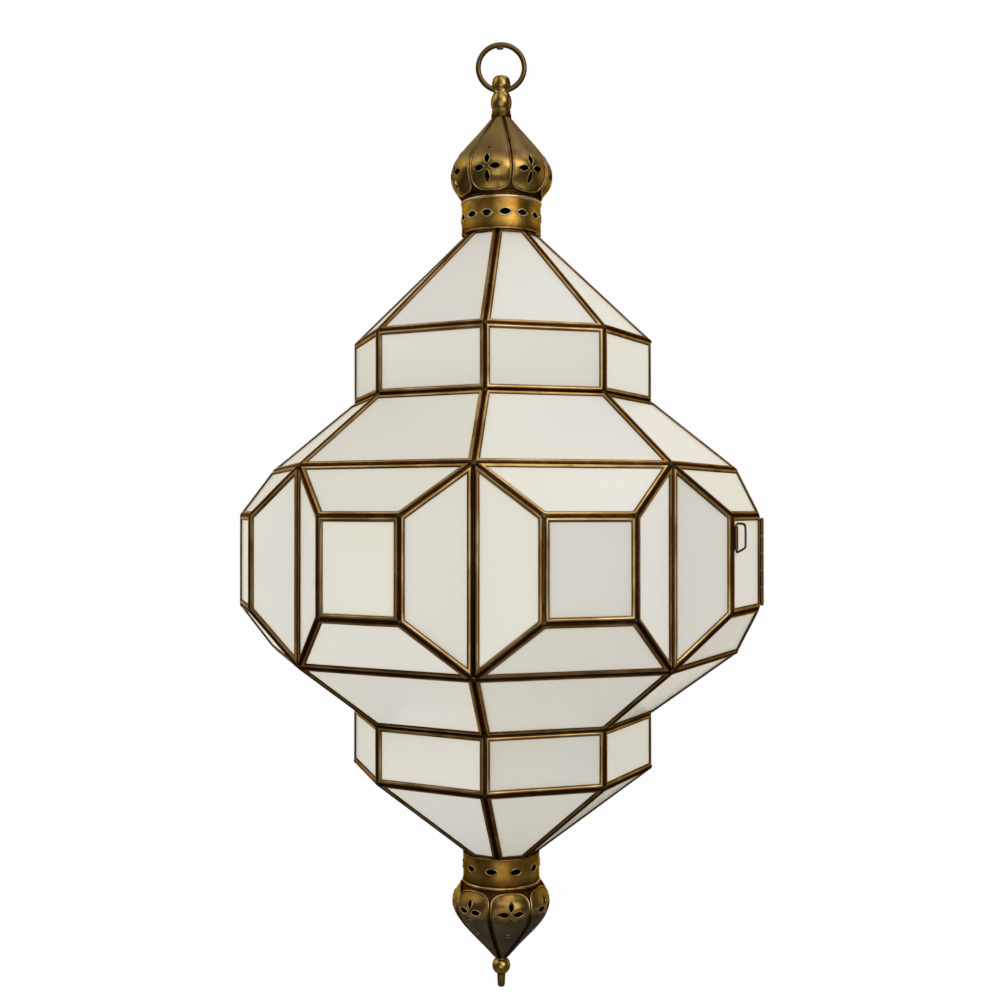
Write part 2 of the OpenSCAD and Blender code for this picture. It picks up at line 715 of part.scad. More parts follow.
// Rubber grommet with a flange outside the collar and one inside it
module cable_grommet() {
    inner_end = cable_inside - cable_flange_t;
    outer_end = top_collar_r + seat + cable_flange_t;
    color("dimgray")
        translate([0, 0, z_cable])
            rotate([0, 90, cable_azimuth - 90])
                difference() {
                    union() {
                        translate([0, 0, inner_end])
                            cylinder(r = cable_body_r, h = outer_end - inner_end, $fn = round_fn);
                        for (z = [inner_end, top_collar_r + seat])
                            translate([0, 0, z])
                                cylinder(r = cable_flange_r, h = cable_flange_t, $fn = round_fn);
                    }
                    translate([0, 0, inner_end - past])
                        cylinder(d = cable_bore_d, h = outer_end - inner_end + 2 * past, $fn = round_fn);
                }
}

earth_inset = 14.5;
earth_r = top_collar_r - collar_wall - earth_inset;
earth_screw_d = 4;
module top_plate()
    color(brass)
        difference() {
            translate([0, 0, z_top_plate])
                cylinder(r = top_collar_r - collar_wall - seat * 2, h = plate_t, $fn = round_fn);
            translate([0, 0, z_top_plate - past])
                cylinder(r = stem_d / 2 + seat, h = plate_t + 2 * past, $fn = round_fn);
            translate([earth_r, 0, z_top_plate - past])
                cylinder(r = earth_screw_d / 2 + seat, h = plate_t + 2 * past, $fn = round_fn);
        }

// Earth terminal on the top plate
module earth_screw()
    color("goldenrod")
        translate([earth_r, 0, z_top_plate + plate_t + seat]) {
            cylinder(r = earth_screw_d, h = 2.4, $fn = round_fn);
            translate([0, 0, -plate_t - 4])
                cylinder(d = earth_screw_d, h = plate_t + 4.5, $fn = round_fn);
        }

module bottom_plate()
    color(brass)
        difference() {
            translate([0, 0, z_lower_cone_end - seat - plate_t])
                cylinder(r = bottom_collar_r - collar_wall - seat * 2, h = plate_t, $fn = round_fn);
            translate([0, 0, z_lower_cone_end - seat - plate_t - past])
                cylinder(r = tie_rod_d / 2 + seat, h = plate_t + 2 * past, $fn = round_fn);
        }

z_ball = z_bottom_neck - seat - ball_r * 0.95;
z_rod_end = z_ball - ball_r * 0.3;
module bottom_tie_rod()
    color("goldenrod")
        translate([0, 0, z_rod_end])
            cylinder(d = tie_rod_d, h = z_lower_cone_end + 8 - z_rod_end, $fn = round_fn);

module bottom_nut()
    color("goldenrod")
        hex_nut(z_lower_cone_end, tie_rod_d * 1.67, tie_rod_d, 5);

module bottom_finial()
    color(brass)
        difference() {
            rotate_extrude($fn = round_fn)
                polygon(concat(
                    [[0, z_bottom_neck - seat], [bottom_neck_r, z_bottom_neck - seat]],
                    [for (a = [45:-11.1:-66]) [ball_r * cos(a), z_ball + ball_r * sin(a)]],
                    [[stub_r, z_ball - ball_r * 0.92], [stub_r, z_ball - stub_l + 1.2],
                     [stub_r - 1.2, z_ball - stub_l], [0, z_ball - stub_l]]));
            translate([0, 0, z_rod_end - seat])
                cylinder(r = tie_rod_d / 2 + seat, h = ball_r * 2, $fn = round_fn);
        }

// Cap of the lamp holder, threaded on the stem
module holder_cap()
    color("black")
        rotate_extrude($fn = round_fn)
            polygon([
                [stem_d / 2 + seat, z_holder], [holder_r * 0.55, z_holder],
                [holder_r * 0.86, z_holder - 3.5], [holder_r, z_holder - 9],
                [holder_r, z_block], [holder_r - holder_wall, z_block],
                [holder_r - holder_wall, z_holder - 9.6], [holder_r * 0.8, z_holder - 5.6],
                [stem_d / 2 + 3, z_holder - 3], [stem_d / 2 + 3, z_holder - stem_grip - 1],
                [stem_d / 2 + seat, z_holder - stem_grip - 1]]);

// Ceramic block that carries the terminals, hollowed for the centre contact
module holder_insulator()
    color("white")
        difference() {
            translate([0, 0, z_block])
                cylinder(r = holder_r - holder_wall - seat * 2, h = block_h, $fn = round_fn);
            translate([0, 0, z_block - past])
                cylinder(r = contact_r + 4, h = contact_recess + past, $fn = round_fn);
        }

// Centre contact, in the hollow of the ceramic block
module holder_contact()
    color("goldenrod")
        translate([0, 0, z_block + contact_recess - seat - contact_t])
            cylinder(r = contact_r, h = contact_t, $fn = round_fn);

module holder_body()
    color("black")
        difference() {
            translate([0, 0, z_holder_end])
                cylinder(r = holder_r, h = z_block - seat - z_holder_end, $fn = round_fn);
            translate([0, 0, z_holder_end - past])
                cylinder(r = shell_bore_r + shell_t + seat, h = z_block - z_holder_end + 2 * past,
                    $fn = round_fn);
        }

module holder_shell()
    color("goldenrod")
        difference() {
            translate([0, 0, z_shell - shell_l])
                cylinder(r = shell_bore_r + shell_t, h = shell_l, $fn = round_fn);
            translate([0, 0, z_shell - shell_l - past])
                cylinder(r = shell_bore_r, h = shell_l + 2 * past, $fn = round_fn);
        }

module door_cames()
    color(brass)
        came(square_face, square_others, door_gap);

module door_glass()
    color(opal)
        pane(square_face, square_others, door_gap);

// Every other knuckle of the hinge, from the first
module hinge_knuckles(first)
    color(brass)
        translate([hinge_x, hinge_y, z_hinge_base])
            for (i = [first:2:knuckles - 1])
                translate([0, 0, i * (knuckle_l + knuckle_gap)])
                    difference() {
                        cylinder(d = barrel_d, h = knuckle_l, $fn = fine_fn);
                        translate([0, 0, -past])
                            cylinder(r = hinge_pin_d / 2 + running_clear, h = knuckle_l + 2 * past, $fn = fine_fn);
                    }
module hinge_knuckles_fixed() hinge_knuckles(0);
module hinge_knuckles_door() hinge_knuckles(1);

// Hinge pin with a small head at each end
module hinge_pin()
    color("goldenrod")
        translate([hinge_x, hinge_y, z_hinge_base]) {
            translate([0, 0, -1])
                cylinder(d = hinge_pin_d, h = hinge_l + 2, $fn = fine_fn);
            for (z = [-0.9, hinge_l + 0.1])
                translate([0, 0, z])
                    cylinder(d = barrel_d * 0.85, h = 0.8, $fn = fine_fn);
        }

module pull_tube()
    color(brass)
        translate([pull_x, pull_y, z_pull - (pull_h + pull_tube_l) / 2])
            difference() {
                cylinder(d = pull_tube_d, h = pull_tube_l, $fn = fine_fn);
                translate([0, 0, -past])
                    cylinder(r = pull_wire_d / 2 + running_clear, h = pull_tube_l + 2 * past, $fn = fine_fn);
            }

// Wire pull, bent like a D. Its two straight ends turn in the tube, and the bent wire
// between them starts and ends inside them. Its outline is a list of reaches and heights.
pull_end = 6;
pull_neck = 1.6;
pull_inside = pull_neck + 1;
pull_path = [
    [0, -pull_inside], [0, -1.3], [0.4, -0.4], [1.3, 0],
    [pull_reach - 3.4, 0], [pull_reach - 1.4, -1], [pull_reach - 0.2, -3.4], [pull_reach, -5],
    [pull_reach, -pull_h * 0.82], [pull_reach - 0.6, -pull_h * 0.86],
    [1.3, 0.1 - pull_h], [0.4, 0.3 - pull_h], [0, 1.3 - pull_h], [0, pull_inside - pull_h]
];
wire_sides = 12;

// Round wire along a flat path, mitred at each point
module flat_wire(path, d) {
    last = len(path) - 1;
    function leg(i) = unit(path[min(i, last - 1) + 1] - path[min(i, last - 1)]);
    function heading(i) = unit(leg(max(0, i - 1)) + leg(i));
    function spread(i) = 1 / (heading(i) * leg(i));
    points = [for (i = [0:last], k = [0:wire_sides - 1])
        let (h = heading(i), a = 360 * k / wire_sides, side = d / 2 * cos(a) * spread(i))
        [path[i].x - h.y * side, d / 2 * sin(a), path[i].y + h.x * side]];
    skin = [for (i = [0:last - 1], k = [0:wire_sides - 1])
        let (a = i * wire_sides + k, b = i * wire_sides + (k + 1) % wire_sides)
        each [[a, b, a + wire_sides], [b, b + wire_sides, a + wire_sides]]];
    ends = [
        [for (k = [wire_sides - 1:-1:0]) k],
        [for (k = [0:wire_sides - 1]) last * wire_sides + k]
    ];
    polyhedron(points, concat(skin, ends));
}
module door_pull()
    color(dark_brass)
        translate([pull_x, pull_y, z_pull])
            rotate([0, 0, -pull_rest_angle]) {
                flat_wire(pull_path, pull_wire_d * 0.97);
                for (z = [-pull_end, pull_neck - pull_h])
                    translate([0, 0, z])
                        cylinder(d = pull_wire_d, h = pull_end - pull_neck, $fn = fine_fn);
            }

hanging_ring();
finial_knob();
stem_tube();
stem_nuts();
top_dome_gores();
top_dome_seams();
top_bead();
top_collar();
top_plate();
cable_grommet();
earth_screw();
holder_cap();
holder_insulator();
holder_contact();
holder_body();
holder_shell();
upper_cone_cames();
upper_cone_glass();
upper_band_cames();
upper_band_glass();
upper_shoulder_cames();
upper_shoulder_glass();
belt_cames(0);  // belt_cames_1
belt_cames(1);  // belt_cames_2
belt_cames(2);  // belt_cames_3
belt_cames(3);  // belt_cames_4
belt_cames(4);  // belt_cames_5
belt_cames(5);  // belt_cames_6
belt_cames(6);  // belt_cames_7
belt_cames(7);  // belt_cames_8
belt_glass(0);  // belt_glass_1
belt_glass(1);  // belt_glass_2
belt_glass(2);  // belt_glass_3
belt_glass(3);  // belt_glass_4
belt_glass(4);  // belt_glass_5
belt_glass(5);  // belt_glass_6
belt_glass(6);  // belt_glass_7
belt_glass(7);  // belt_glass_8
lower_shoulder_cames();
lower_shoulder_glass();
lower_band_cames();
lower_band_glass();
lower_cone_cames();
lower_cone_glass();
bottom_plate();
bottom_collar();
bottom_bead();
bottom_dome_gores();
bottom_dome_seams();
bottom_tie_rod();
bottom_nut();
bottom_finial();
hinge_knuckles_fixed();
hinge_pin();
door_cames();
door_glass();
hinge_knuckles_door();
pull_tube();
door_pull();
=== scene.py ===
import math

import bmesh
import bpy
import numpy as np
from bpy.props import FloatProperty, FloatVectorProperty, IntProperty, PointerProperty
from mathutils import Matrix, Vector
from mathutils.geometry import delaunay_2d_cdt


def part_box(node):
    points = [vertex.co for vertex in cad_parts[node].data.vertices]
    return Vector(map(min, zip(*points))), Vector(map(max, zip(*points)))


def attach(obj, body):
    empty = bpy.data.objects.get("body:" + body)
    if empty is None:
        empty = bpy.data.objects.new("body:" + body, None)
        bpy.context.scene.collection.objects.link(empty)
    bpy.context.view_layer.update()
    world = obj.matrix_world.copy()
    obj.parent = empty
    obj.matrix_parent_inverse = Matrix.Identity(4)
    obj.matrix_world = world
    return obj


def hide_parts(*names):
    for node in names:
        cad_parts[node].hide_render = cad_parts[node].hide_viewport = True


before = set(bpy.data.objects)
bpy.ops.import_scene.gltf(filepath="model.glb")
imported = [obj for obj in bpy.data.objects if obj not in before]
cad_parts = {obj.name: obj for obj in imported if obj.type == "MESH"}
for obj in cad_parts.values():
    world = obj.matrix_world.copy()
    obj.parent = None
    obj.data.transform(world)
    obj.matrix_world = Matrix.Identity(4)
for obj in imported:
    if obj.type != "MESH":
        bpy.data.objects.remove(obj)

bl_info = {
    "name": "Octagonal glass lantern",
    "version": (1, 0, 0),
    "blender": (4, 5, 0),
    "location": "View3D > Sidebar > Lantern",
    "description": "Builds a hanging lantern of milky glass panes in brass channel",
    "category": "Add Mesh",
}

MM = 0.001
SIDES = 8
TURN = 360 / SIDES
SEAT = 0.05 * MM
SHARP = math.radians(38)
WIRE_SHARP = math.radians(60)
TIERS = ("upper_cone", "upper_band", "upper_shoulder", "lower_shoulder", "lower_band", "lower_cone")
LEANING = ("belt_upper", "belt_lower", "belt_left", "belt_right")


def length(label, text, default):
    return FloatProperty(name=label, description=text, default=default, unit="LENGTH", precision=5)


def angle(label, text, default):
    return FloatProperty(name=label, description=text + ", in degrees", default=default)


def number(label, text, default, low, high):
    return IntProperty(name=label, description=text, default=default, min=low, max=high)


def tint(label, text, default):
    return FloatVectorProperty(name=label, description=text, default=default, subtype="COLOR", min=0, max=1)


class LanternBody(bpy.types.PropertyGroup):
    cone_top: length("Cone top", "Height of the upper cone's top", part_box("top_plate")[0].z - SEAT)
    cone_end: length("Cone end radius", "Corner radius where the cones meet the collars", 33.5 * MM)
    band: length("Band radius", "Corner radius of the two upright bands", 142.2 * MM)
    belt: length("Belt radius", "Corner radius of the belt's two rings", 222 * MM)
    upper_cone: length("Upper cone", "Height of the upper cone", 103.2 * MM)
    upper_band: length("Upper band", "Height of the upper band", 57.2 * MM)
    upper_shoulder: length("Upper shoulder", "Height of the upper shoulder", 64.2 * MM)
    belt_height: length("Belt height", "Height of the belt", 171.3 * MM)
    lower_shoulder: length("Lower shoulder", "Height of the lower shoulder", 57.5 * MM)
    lower_band: length("Lower band", "Height of the lower band", 51.6 * MM)
    lower_cone: length("Lower cone", "Height of the lower cone", 82.1 * MM)
    square_width: length("Square width", "Width of the square panes", 77.6 * MM)
    square_height: length("Square height", "Height of the square panes", 83.4 * MM)
    square_drop: length("Square drop", "Drop from the belt's upper ring to the square panes", 42.4 * MM)
    square_out: length("Square out", "How far the square panes stand out", 36.1 * MM)


class LanternStrip(bpy.types.PropertyGroup):
    width: length("Strip width", "Width of one brass strip", 4.9 * MM)
    crown: length("Strip crown", "How far a strip is rounded outwards", 0.7 * MM)
    groove: length("Groove", "Width of the dark groove on one side of a seam", 1.2 * MM)
    depth: length("Channel depth", "Depth of the channel round the glass", 4.3 * MM)
    pane_drop: length("Pane drop", "How far the glass lies below the strip's face", 0.9 * MM)
    pane_thickness: length("Pane thickness", "Thickness of the glass", 2.5 * MM)
    gap: length("Gap", "Half of the gap between two channels", 0.15 * MM)
    door_gap: length("Door gap", "Gap round the door's channel", 0.4 * MM)
    wobble: length("Unevenness", "How far hand-bent strips wander", 0.22 * MM)
    drop: length("Solder drop", "Radius of a solder drop at a corner", 2.5 * MM)
    bar: length("Bar", "Radius of the solder bar in an inner corner", 1.2 * MM)
    bar_depth: length("Bar depth", "How far a solder bar's middle lies under the corner", 1.2 * MM)


class LanternDome(bpy.types.PropertyGroup):
    gores: number("Gores", "Number of gores round a dome", 7, 5, 9)
    crown: length("Crown", "How far a gore's middle stands out", 1.5 * MM)
    sheet: length("Sheet", "Thickness of the sheet brass", 0.8 * MM)
    seam: length("Seam", "Half of the gap between two gores", 0.95 * MM)
    lip: length("Lip", "Radius of the rolled lip round a gore", 0.85 * MM)
    rim: length("Rim", "Radius of the burr round a cut", 0.42 * MM)
    corner: length("Corner", "Corner radius of a gore's wide end", 9.5 * MM)
    top_bare: length("Top bare", "Height of the top dome's base left bare under the gores", 1.4 * MM)
    bottom_bare: length("Bottom bare", "Height of the bottom dome's base left bare over the gores", 3.6 * MM)
    top_azimuth: angle("Top azimuth", "Azimuth of a top gore's middle", 27.6)
    bottom_azimuth: angle("Bottom azimuth", "Azimuth of a bottom gore's middle", 1.2)


class LanternCollar(bpy.types.PropertyGroup):
    wall: length("Wall", "Thickness of the collars", 1.2 * MM)
    eye_length: length("Eye length", "Length of a pierced eye", 11.8 * MM)
    eye_height: length("Eye height", "Height of a pierced eye", 6.6 * MM)
    rim: length("Rim", "Radius of the burr round an eye", 0.6 * MM)
    top_places: number("Top places", "Places round the top collar", 14, 8, 18)
    bottom_eyes: number("Bottom eyes", "Eyes round the bottom collar", 10, 8, 14)
    top_azimuth: angle("Top azimuth", "Azimuth of one of the top eyes", 123.5)
    bottom_azimuth: angle("Bottom azimuth", "Azimuth of one of the bottom eyes", -4)
    cable_azimuth: angle("Cable azimuth", "Azimuth of the cable's hole", 130)


class LanternColours(bpy.types.PropertyGroup):
    glass: tint("Glass", "Milky white of the panes", (0.78, 0.755, 0.685))
    glass_cool: tint("Cool glass", "Cooler white of some panes", (0.72, 0.715, 0.70))
    glass_warm: tint("Warm glass", "Yellower white of some panes", (0.76, 0.725, 0.60))
    strip: tint("Strip", "Brass of the strips", (0.50, 0.28, 0.085))
    strip_worn: tint("Worn strip", "Brass of the strips where it is rubbed bright", (0.92, 0.62, 0.26))
    # Also the colour of the painted shade on the brass
    patina_and_shade: tint("Patina", "Dark brown in the grooves", (0.064, 0.024, 0.006))
    wire: tint("Wire", "Brown of the ring and the pull", (0.15, 0.090, 0.040))
    dome: tint("Dome", "Brown brass of the domes", (0.30, 0.175, 0.045))
    dome_worn: tint("Worn dome", "Brass of the domes where it is rubbed bright", (0.64, 0.42, 0.10))
    lip: tint("Lip", "Pale rubbed brass of the lips", (0.76, 0.55, 0.24))
    cream: tint("Cream", "Cream brass of the top collar's edges, rubbed the most", (0.96, 0.78, 0.48))
    # Dust and painted shade near the top dome's neck; near-black painted shade on the bottom dome's lower
    # part
    dust_high: tint("Dust above", "Dull pinkish brown near the top dome's neck", (0.066, 0.040, 0.023))
    dust_low: tint("Dust below", "Dull grey near the bottom dome's neck", (0.013, 0.012, 0.009))
    turned: tint("Turned", "Brown brass of the knob and the finial", (0.20, 0.115, 0.036))
    turned_worn: tint("Worn turned", "Rubbed brass of the knob and the finial", (0.46, 0.29, 0.080))
    collar: tint("Collar", "Warm brass of the collars", (0.36, 0.170, 0.026))
    collar_worn: tint("Worn collar", "Brass of the collars where it is rubbed bright", (0.72, 0.42, 0.085))
    solder: tint("Solder", "Darkened solder", (0.075, 0.062, 0.046))


GROUPS = {
    "lantern_body": LanternBody,
    "lantern_strip": LanternStrip,
    "lantern_dome": LanternDome,
    "lantern_collar": LanternCollar,
    "lantern_colours": LanternColours,
}


def settings(name):
    return getattr(bpy.context.scene, "lantern_" + name)


# Points, faces and frames of the glass body

def polar(radius, azimuth, z):
    turn = math.radians(azimuth)
    return Vector((radius * math.sin(turn), -radius * math.cos(turn), z))


def turned(points, azimuth):
    matrix = Matrix.Rotation(math.radians(azimuth), 3, "Z")
    return [matrix @ p for p in points]


def tier(low_radius, low_z, high_radius, high_z):
    half = TURN / 2
    return [polar(low_radius, -half, low_z), polar(low_radius, half, low_z),
            polar(high_radius, half, high_z), polar(high_radius, -half, high_z)]


def body_faces():
    """The faces of the glass body on the door's side, anticlockwise from outside, by name."""
    b = settings("body")
    radii = (b.cone_end, b.band, b.band, b.belt, b.belt, b.band, b.band, b.cone_end)
    heights = (b.upper_cone, b.upper_band, b.upper_shoulder, b.belt_height, b.lower_shoulder, b.lower_band,
               b.lower_cone)
    z = [b.cone_top]
    for height in heights:
        z.append(z[-1] - height)
    names = (*TIERS[:3], "belt", *TIERS[3:])
    faces = {name: tier(radii[i + 1], z[i + 1], radii[i], z[i]) for i, name in enumerate(names)}
    ring = faces.pop("belt")
    out = -(b.belt * math.cos(math.radians(TURN / 2)) + b.square_out)
    top = z[3] - b.square_drop
    base = top - b.square_height
    w = b.square_width / 2
    square = [Vector((-w, out, base)), Vector((w, out, base)), Vector((w, out, top)), Vector((-w, out, top))]
    faces["square"] = square
    faces["belt_upper"] = [square[3], square[2], ring[2], ring[3]]
    faces["belt_lower"] = [ring[0], ring[1], square[1], square[0]]
    faces["belt_left"] = [ring[0], square[0], square[3], ring[3]]
    faces["belt_right"] = [square[1], ring[1], ring[2], square[2]]
    return faces


def neighbours(faces, name):
    """The faces across the four edges of a face, or None where it ends."""
    f = faces
    around = {
        "upper_cone": (f["upper_band"], None),
        "upper_band": (f["upper_shoulder"], f["upper_cone"]),
        "upper_shoulder": (f["belt_upper"], f["upper_band"]),
        "lower_shoulder": (f["lower_band"], f["belt_lower"]),
        "lower_band": (f["lower_cone"], f["lower_shoulder"]),
        "lower_cone": (None, f["lower_band"]),
    }
    if name in around:
        below, above = around[name]
        return [below, turned(f[name], TURN), above, turned(f[name], -TURN)]
    return {
        "square": [f["belt_lower"], f["belt_right"], f["belt_upper"], f["belt_left"]],
        "belt_upper": [f["square"], f["belt_right"], f["upper_shoulder"], f["belt_left"]],
        "belt_lower": [f["lower_shoulder"], f["belt_right"], f["square"], f["belt_left"]],
        "belt_left": [f["belt_lower"], f["square"], f["belt_upper"], turned(f["belt_right"], -TURN)],
        "belt_right": [f["belt_lower"], turned(f["belt_left"], TURN), f["belt_upper"], f["square"]],
    }[name]


def normal(face):
    return (face[1] - face[0]).cross(face[3] - face[0]).normalized()


def middle(face):
    return sum(face, Vector()) / len(face)


def mitre(face, other):
    """Slope of the mitre towards the face across an edge, 0 where the two open inwards."""
    if other is None:
        return 0.0
    if (middle(other) - middle(face)).dot(normal(face)) > -1e-6:
        return 0.0
    return math.tan(math.acos(min(1.0, normal(face).dot(normal(other)))) / 2)


class Plane:
    """A face's own axes, with its corners moved inwards by any distance at each edge."""

    def __init__(self, face):
        self.origin = face[0]
        self.u = (face[1] - face[0]).normalized()
        self.n = normal(face)
        self.v = self.n.cross(self.u)
        self.flat = [Vector(((p - face[0]).dot(self.u), (p - face[0]).dot(self.v))) for p in face]

    def inward(self, k):
        edge = (self.flat[(k + 1) % 4] - self.flat[k % 4]).normalized()
        return Vector((-edge.y, edge.x))

    def corner(self, k, before, after):
        m = self.inward(k + 3)
        n = self.inward(k)
        a = self.flat[k].dot(m) + before
        b = self.flat[k].dot(n) + after
        d = m.x * n.y - m.y * n.x
        return Vector(((a * n.y - b * m.y) / d, (b * m.x - a * n.x) / d))

    def point(self, flat, height):
        return self.origin + self.u * flat.x + self.v * flat.y + self.n * height


# The rounded face of a strip: share of its width, share of its crown, and how dark it is, with patina in the
# groove and painted shade down the rounded sides away from the crest.
STRIP_FACE = ((0.0, -0.35, 1.0), (0.14, 0.32, 0.90), (0.24, 0.72, 0.50), (0.34, 0.95, 0.06),
              (0.50, 1.0, 0.0), (0.62, 0.86, 0.12), (0.76, 0.52, 0.55), (0.90, 0.10, 0.70),
              (0.96, -0.25, 1.0))
WEB = 0.6 * MM
GLASS_INSET = 0.75 * MM
FRONT_PLAY = 0.02 * MM
BACK_PLAY = 0.12 * MM


def strip_section(gap):
    """Outline of the channel: distance in from the edge, height, share of the mitre, and how dark it is, as
    patina in the groove and painted shade down the sides and inside the channel.
    """
    s = settings("strip")
    front = -s.pane_drop + FRONT_PLAY
    back = -s.pane_drop - s.pane_thickness - BACK_PLAY
    points = [(gap, -s.depth, 1, 1.0), (gap, -0.75 * MM, 1, 1.0),
              (gap + 0.35 * s.groove, -0.42 * MM, 0, 1.0)]
    points += [(s.groove + (s.width - s.groove) * t, s.crown * h, 0, dark) for t, h, dark in STRIP_FACE]
    points += [(s.width, front, 0, 1.0), (gap + WEB, front, 1, 1.0), (gap + WEB, back, 1, 1.0)]
    points += [(s.width, back, 0, 0.8), (s.width, -s.depth, 0, 0.6)]
    return points


def strip_mesh(face, others, gap, spacing=9 * MM):
    """One channel bent round a pane, mitred at its corners, as points, faces and darkness."""
    plane = Plane(face)
    slopes = [mitre(face, other) for other in others]
    section = strip_section(gap)

    def inset(point, k):
        return point[0] - point[2] * point[1] * slopes[k % 4]

    corners = [[plane.point(plane.corner(k, inset(p, k + 3), inset(p, k)), p[1]) for p in section]
               for k in range(4)]
    rings = []
    for k in range(4):
        run = (corners[(k + 1) % 4][0] - corners[k][0]).length
        steps = max(2, round(run / spacing))
        for i in range(steps):
            t = i / steps
            rings.append([a.lerp(b, t) for a, b in zip(corners[k], corners[(k + 1) % 4])])
    count = len(section)
    points = [p for ring in rings for p in ring]
    faces = [(i * count + j, (i + 1) % len(rings) * count + j,
              (i + 1) % len(rings) * count + (j + 1) % count, i * count + (j + 1) % count)
             for i in range(len(rings)) for j in range(count)]
    return points, faces, [p[3] for p in section] * len(rings)


def pane_mesh(face, others, gap, spacing=8 * MM):
    """One pane of glass inside its channel, as points, faces and distance from the edge."""
    s = settings("strip")
    plane = Plane(face)
    low = s.pane_drop + s.pane_thickness
    edge = gap + GLASS_INSET
    insets = [edge + low * mitre(face, other) for other in others]
    flat = [plane.corner(k, insets[(k + 3) % 4], insets[k]) for k in range(4)]
    wide = max((flat[1] - flat[0]).length, (flat[2] - flat[3]).length)
    tall = (flat[3] - flat[0]).length
    nu = max(4, round(wide / spacing))
    nv = max(4, round(tall / spacing))
    points = []
    rim = []
    for height in (-s.pane_drop, -low):
        for j in range(nv + 1):
            left = flat[0].lerp(flat[3], j / nv)
            right = flat[1].lerp(flat[2], j / nv)
            for i in range(nu + 1):
                points.append(plane.point(left.lerp(right, i / nu), height))
                across = min(i, nu - i) / nu * (right - left).length
                rim.append(min(across, min(j, nv - j) / nv * tall))
    row = nu + 1
    layer = row * (nv + 1)
    faces = []
    for j in range(nv):
        for i in range(nu):
            a = j * row + i
            faces.append((a, a + 1, a + row + 1, a + row))
            faces.append((a + layer, a + row + layer, a + row + 1 + layer, a + 1 + layer))
    loop = list(range(row)) + [j * row + nu for j in range(1, nv + 1)]
    loop += [nv * row + i for i in range(nu - 1, -1, -1)] + [j * row for j in range(nv - 1, 0, -1)]
    for a, b in zip(loop, loop[1:] + loop[:1]):
        faces.append((b, a, a + layer, b + layer))
    return points, faces, rim


def joined(parts):
    """Several meshes' points, faces and values as one."""
    points = []
    faces = []
    values = []
    for p, f, v in parts:
        faces += [tuple(i + len(points) for i in face) for face in f]
        points += list(p)
        values += list(v)
    return points, faces, values


def mesh_object(name, points, faces, values=None, attribute="recess"):
    mesh = bpy.data.meshes.new(name)
    mesh.from_pydata([tuple(p) for p in points], [], faces)
    mesh.polygons.foreach_set("use_smooth", [True] * len(mesh.polygons))
    if values is not None:
        layer = mesh.attributes.new(attribute, "FLOAT", "POINT")
        layer.data.foreach_set("value", [float(v) for v in values])
    mesh.update()
    obj = bpy.data.objects.new(name, mesh)
    bpy.context.scene.collection.objects.link(obj)
    return obj


def plain(obj, sharp=SHARP):
    """The object as its modifiers leave it, as a plain mesh under the same name."""
    depsgraph = bpy.context.evaluated_depsgraph_get()
    mesh = bpy.data.meshes.new_from_object(obj.evaluated_get(depsgraph))
    name = obj.name
    old = obj.data
    bpy.data.objects.remove(obj)
    if old.users == 0:
        bpy.data.meshes.remove(old)
    mesh.name = name
    made = bpy.data.objects.new(name, mesh)
    bpy.context.scene.collection.objects.link(made)
    mesh.set_sharp_from_angle(angle=sharp)
    return made


def joined_object(name, objects):
    """Several objects as one, keeping their materials and attributes."""
    first = objects[0]
    with bpy.context.temp_override(active_object=first, selected_editable_objects=objects):
        bpy.ops.object.join()
    first.name = name
    first.data.name = name
    return first


def placed(obj, body, slot, *nodes):
    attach(obj, body)
    if nodes:
        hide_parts(*nodes)


# Geometry node trees for what repeats

def geometry_tree(name, *rows):
    """A tree with geometry in and out, a material and further inputs by label, kind and default."""
    tree = bpy.data.node_groups.new(name, "GeometryNodeTree")
    for label, kind, default in (("Geometry", "Geometry", None), *rows, ("Material", "Material", None)):
        made = tree.interface.new_socket(name=label, in_out="INPUT", socket_type="NodeSocket" + kind)
        if default is not None:
            made.default_value = default
    tree.interface.new_socket(name="Geometry", in_out="OUTPUT", socket_type="NodeSocketGeometry")
    return tree, tree.nodes.new("NodeGroupInput").outputs


def node(tree, kind, links=None, values=None, **options):
    """A node with its options, its input values and its links by input name or number."""
    made = tree.nodes.new(kind)
    for key, value in options.items():
        setattr(made, key, value)
    for key, value in (values or {}).items():
        made.inputs[key].default_value = value
    for key, source in (links or {}).items():
        tree.links.new(source, made.inputs[key])
    return made


def handmade(tree, geometry, given):
    """Moves points by a smooth noise, so that nothing is dead straight, and gives out the finished tree."""
    position = tree.nodes.new("GeometryNodeInputPosition").outputs[0]
    wave = node(tree, "ShaderNodeTexNoise", {"Vector": position, "Scale": given["Noise Scale"]},
                {"Detail": 1.0})
    centred = node(tree, "ShaderNodeVectorMath", {0: wave.outputs["Color"]}, {1: (0.5, 0.5, 0.5)},
                   operation="SUBTRACT")
    scaled = node(tree, "ShaderNodeVectorMath", {0: centred.outputs[0], "Scale": given["Unevenness"]},
                  operation="SCALE")
    moved = node(tree, "GeometryNodeSetPosition", {"Geometry": geometry, "Offset": scaled.outputs[0]})
    finish = node(tree, "GeometryNodeSetMaterial",
                  {"Geometry": moved.outputs[0], "Material": given["Material"]})
    out = tree.nodes.new("NodeGroupOutput")
    tree.links.new(finish.outputs[0], out.inputs[0])
    return tree


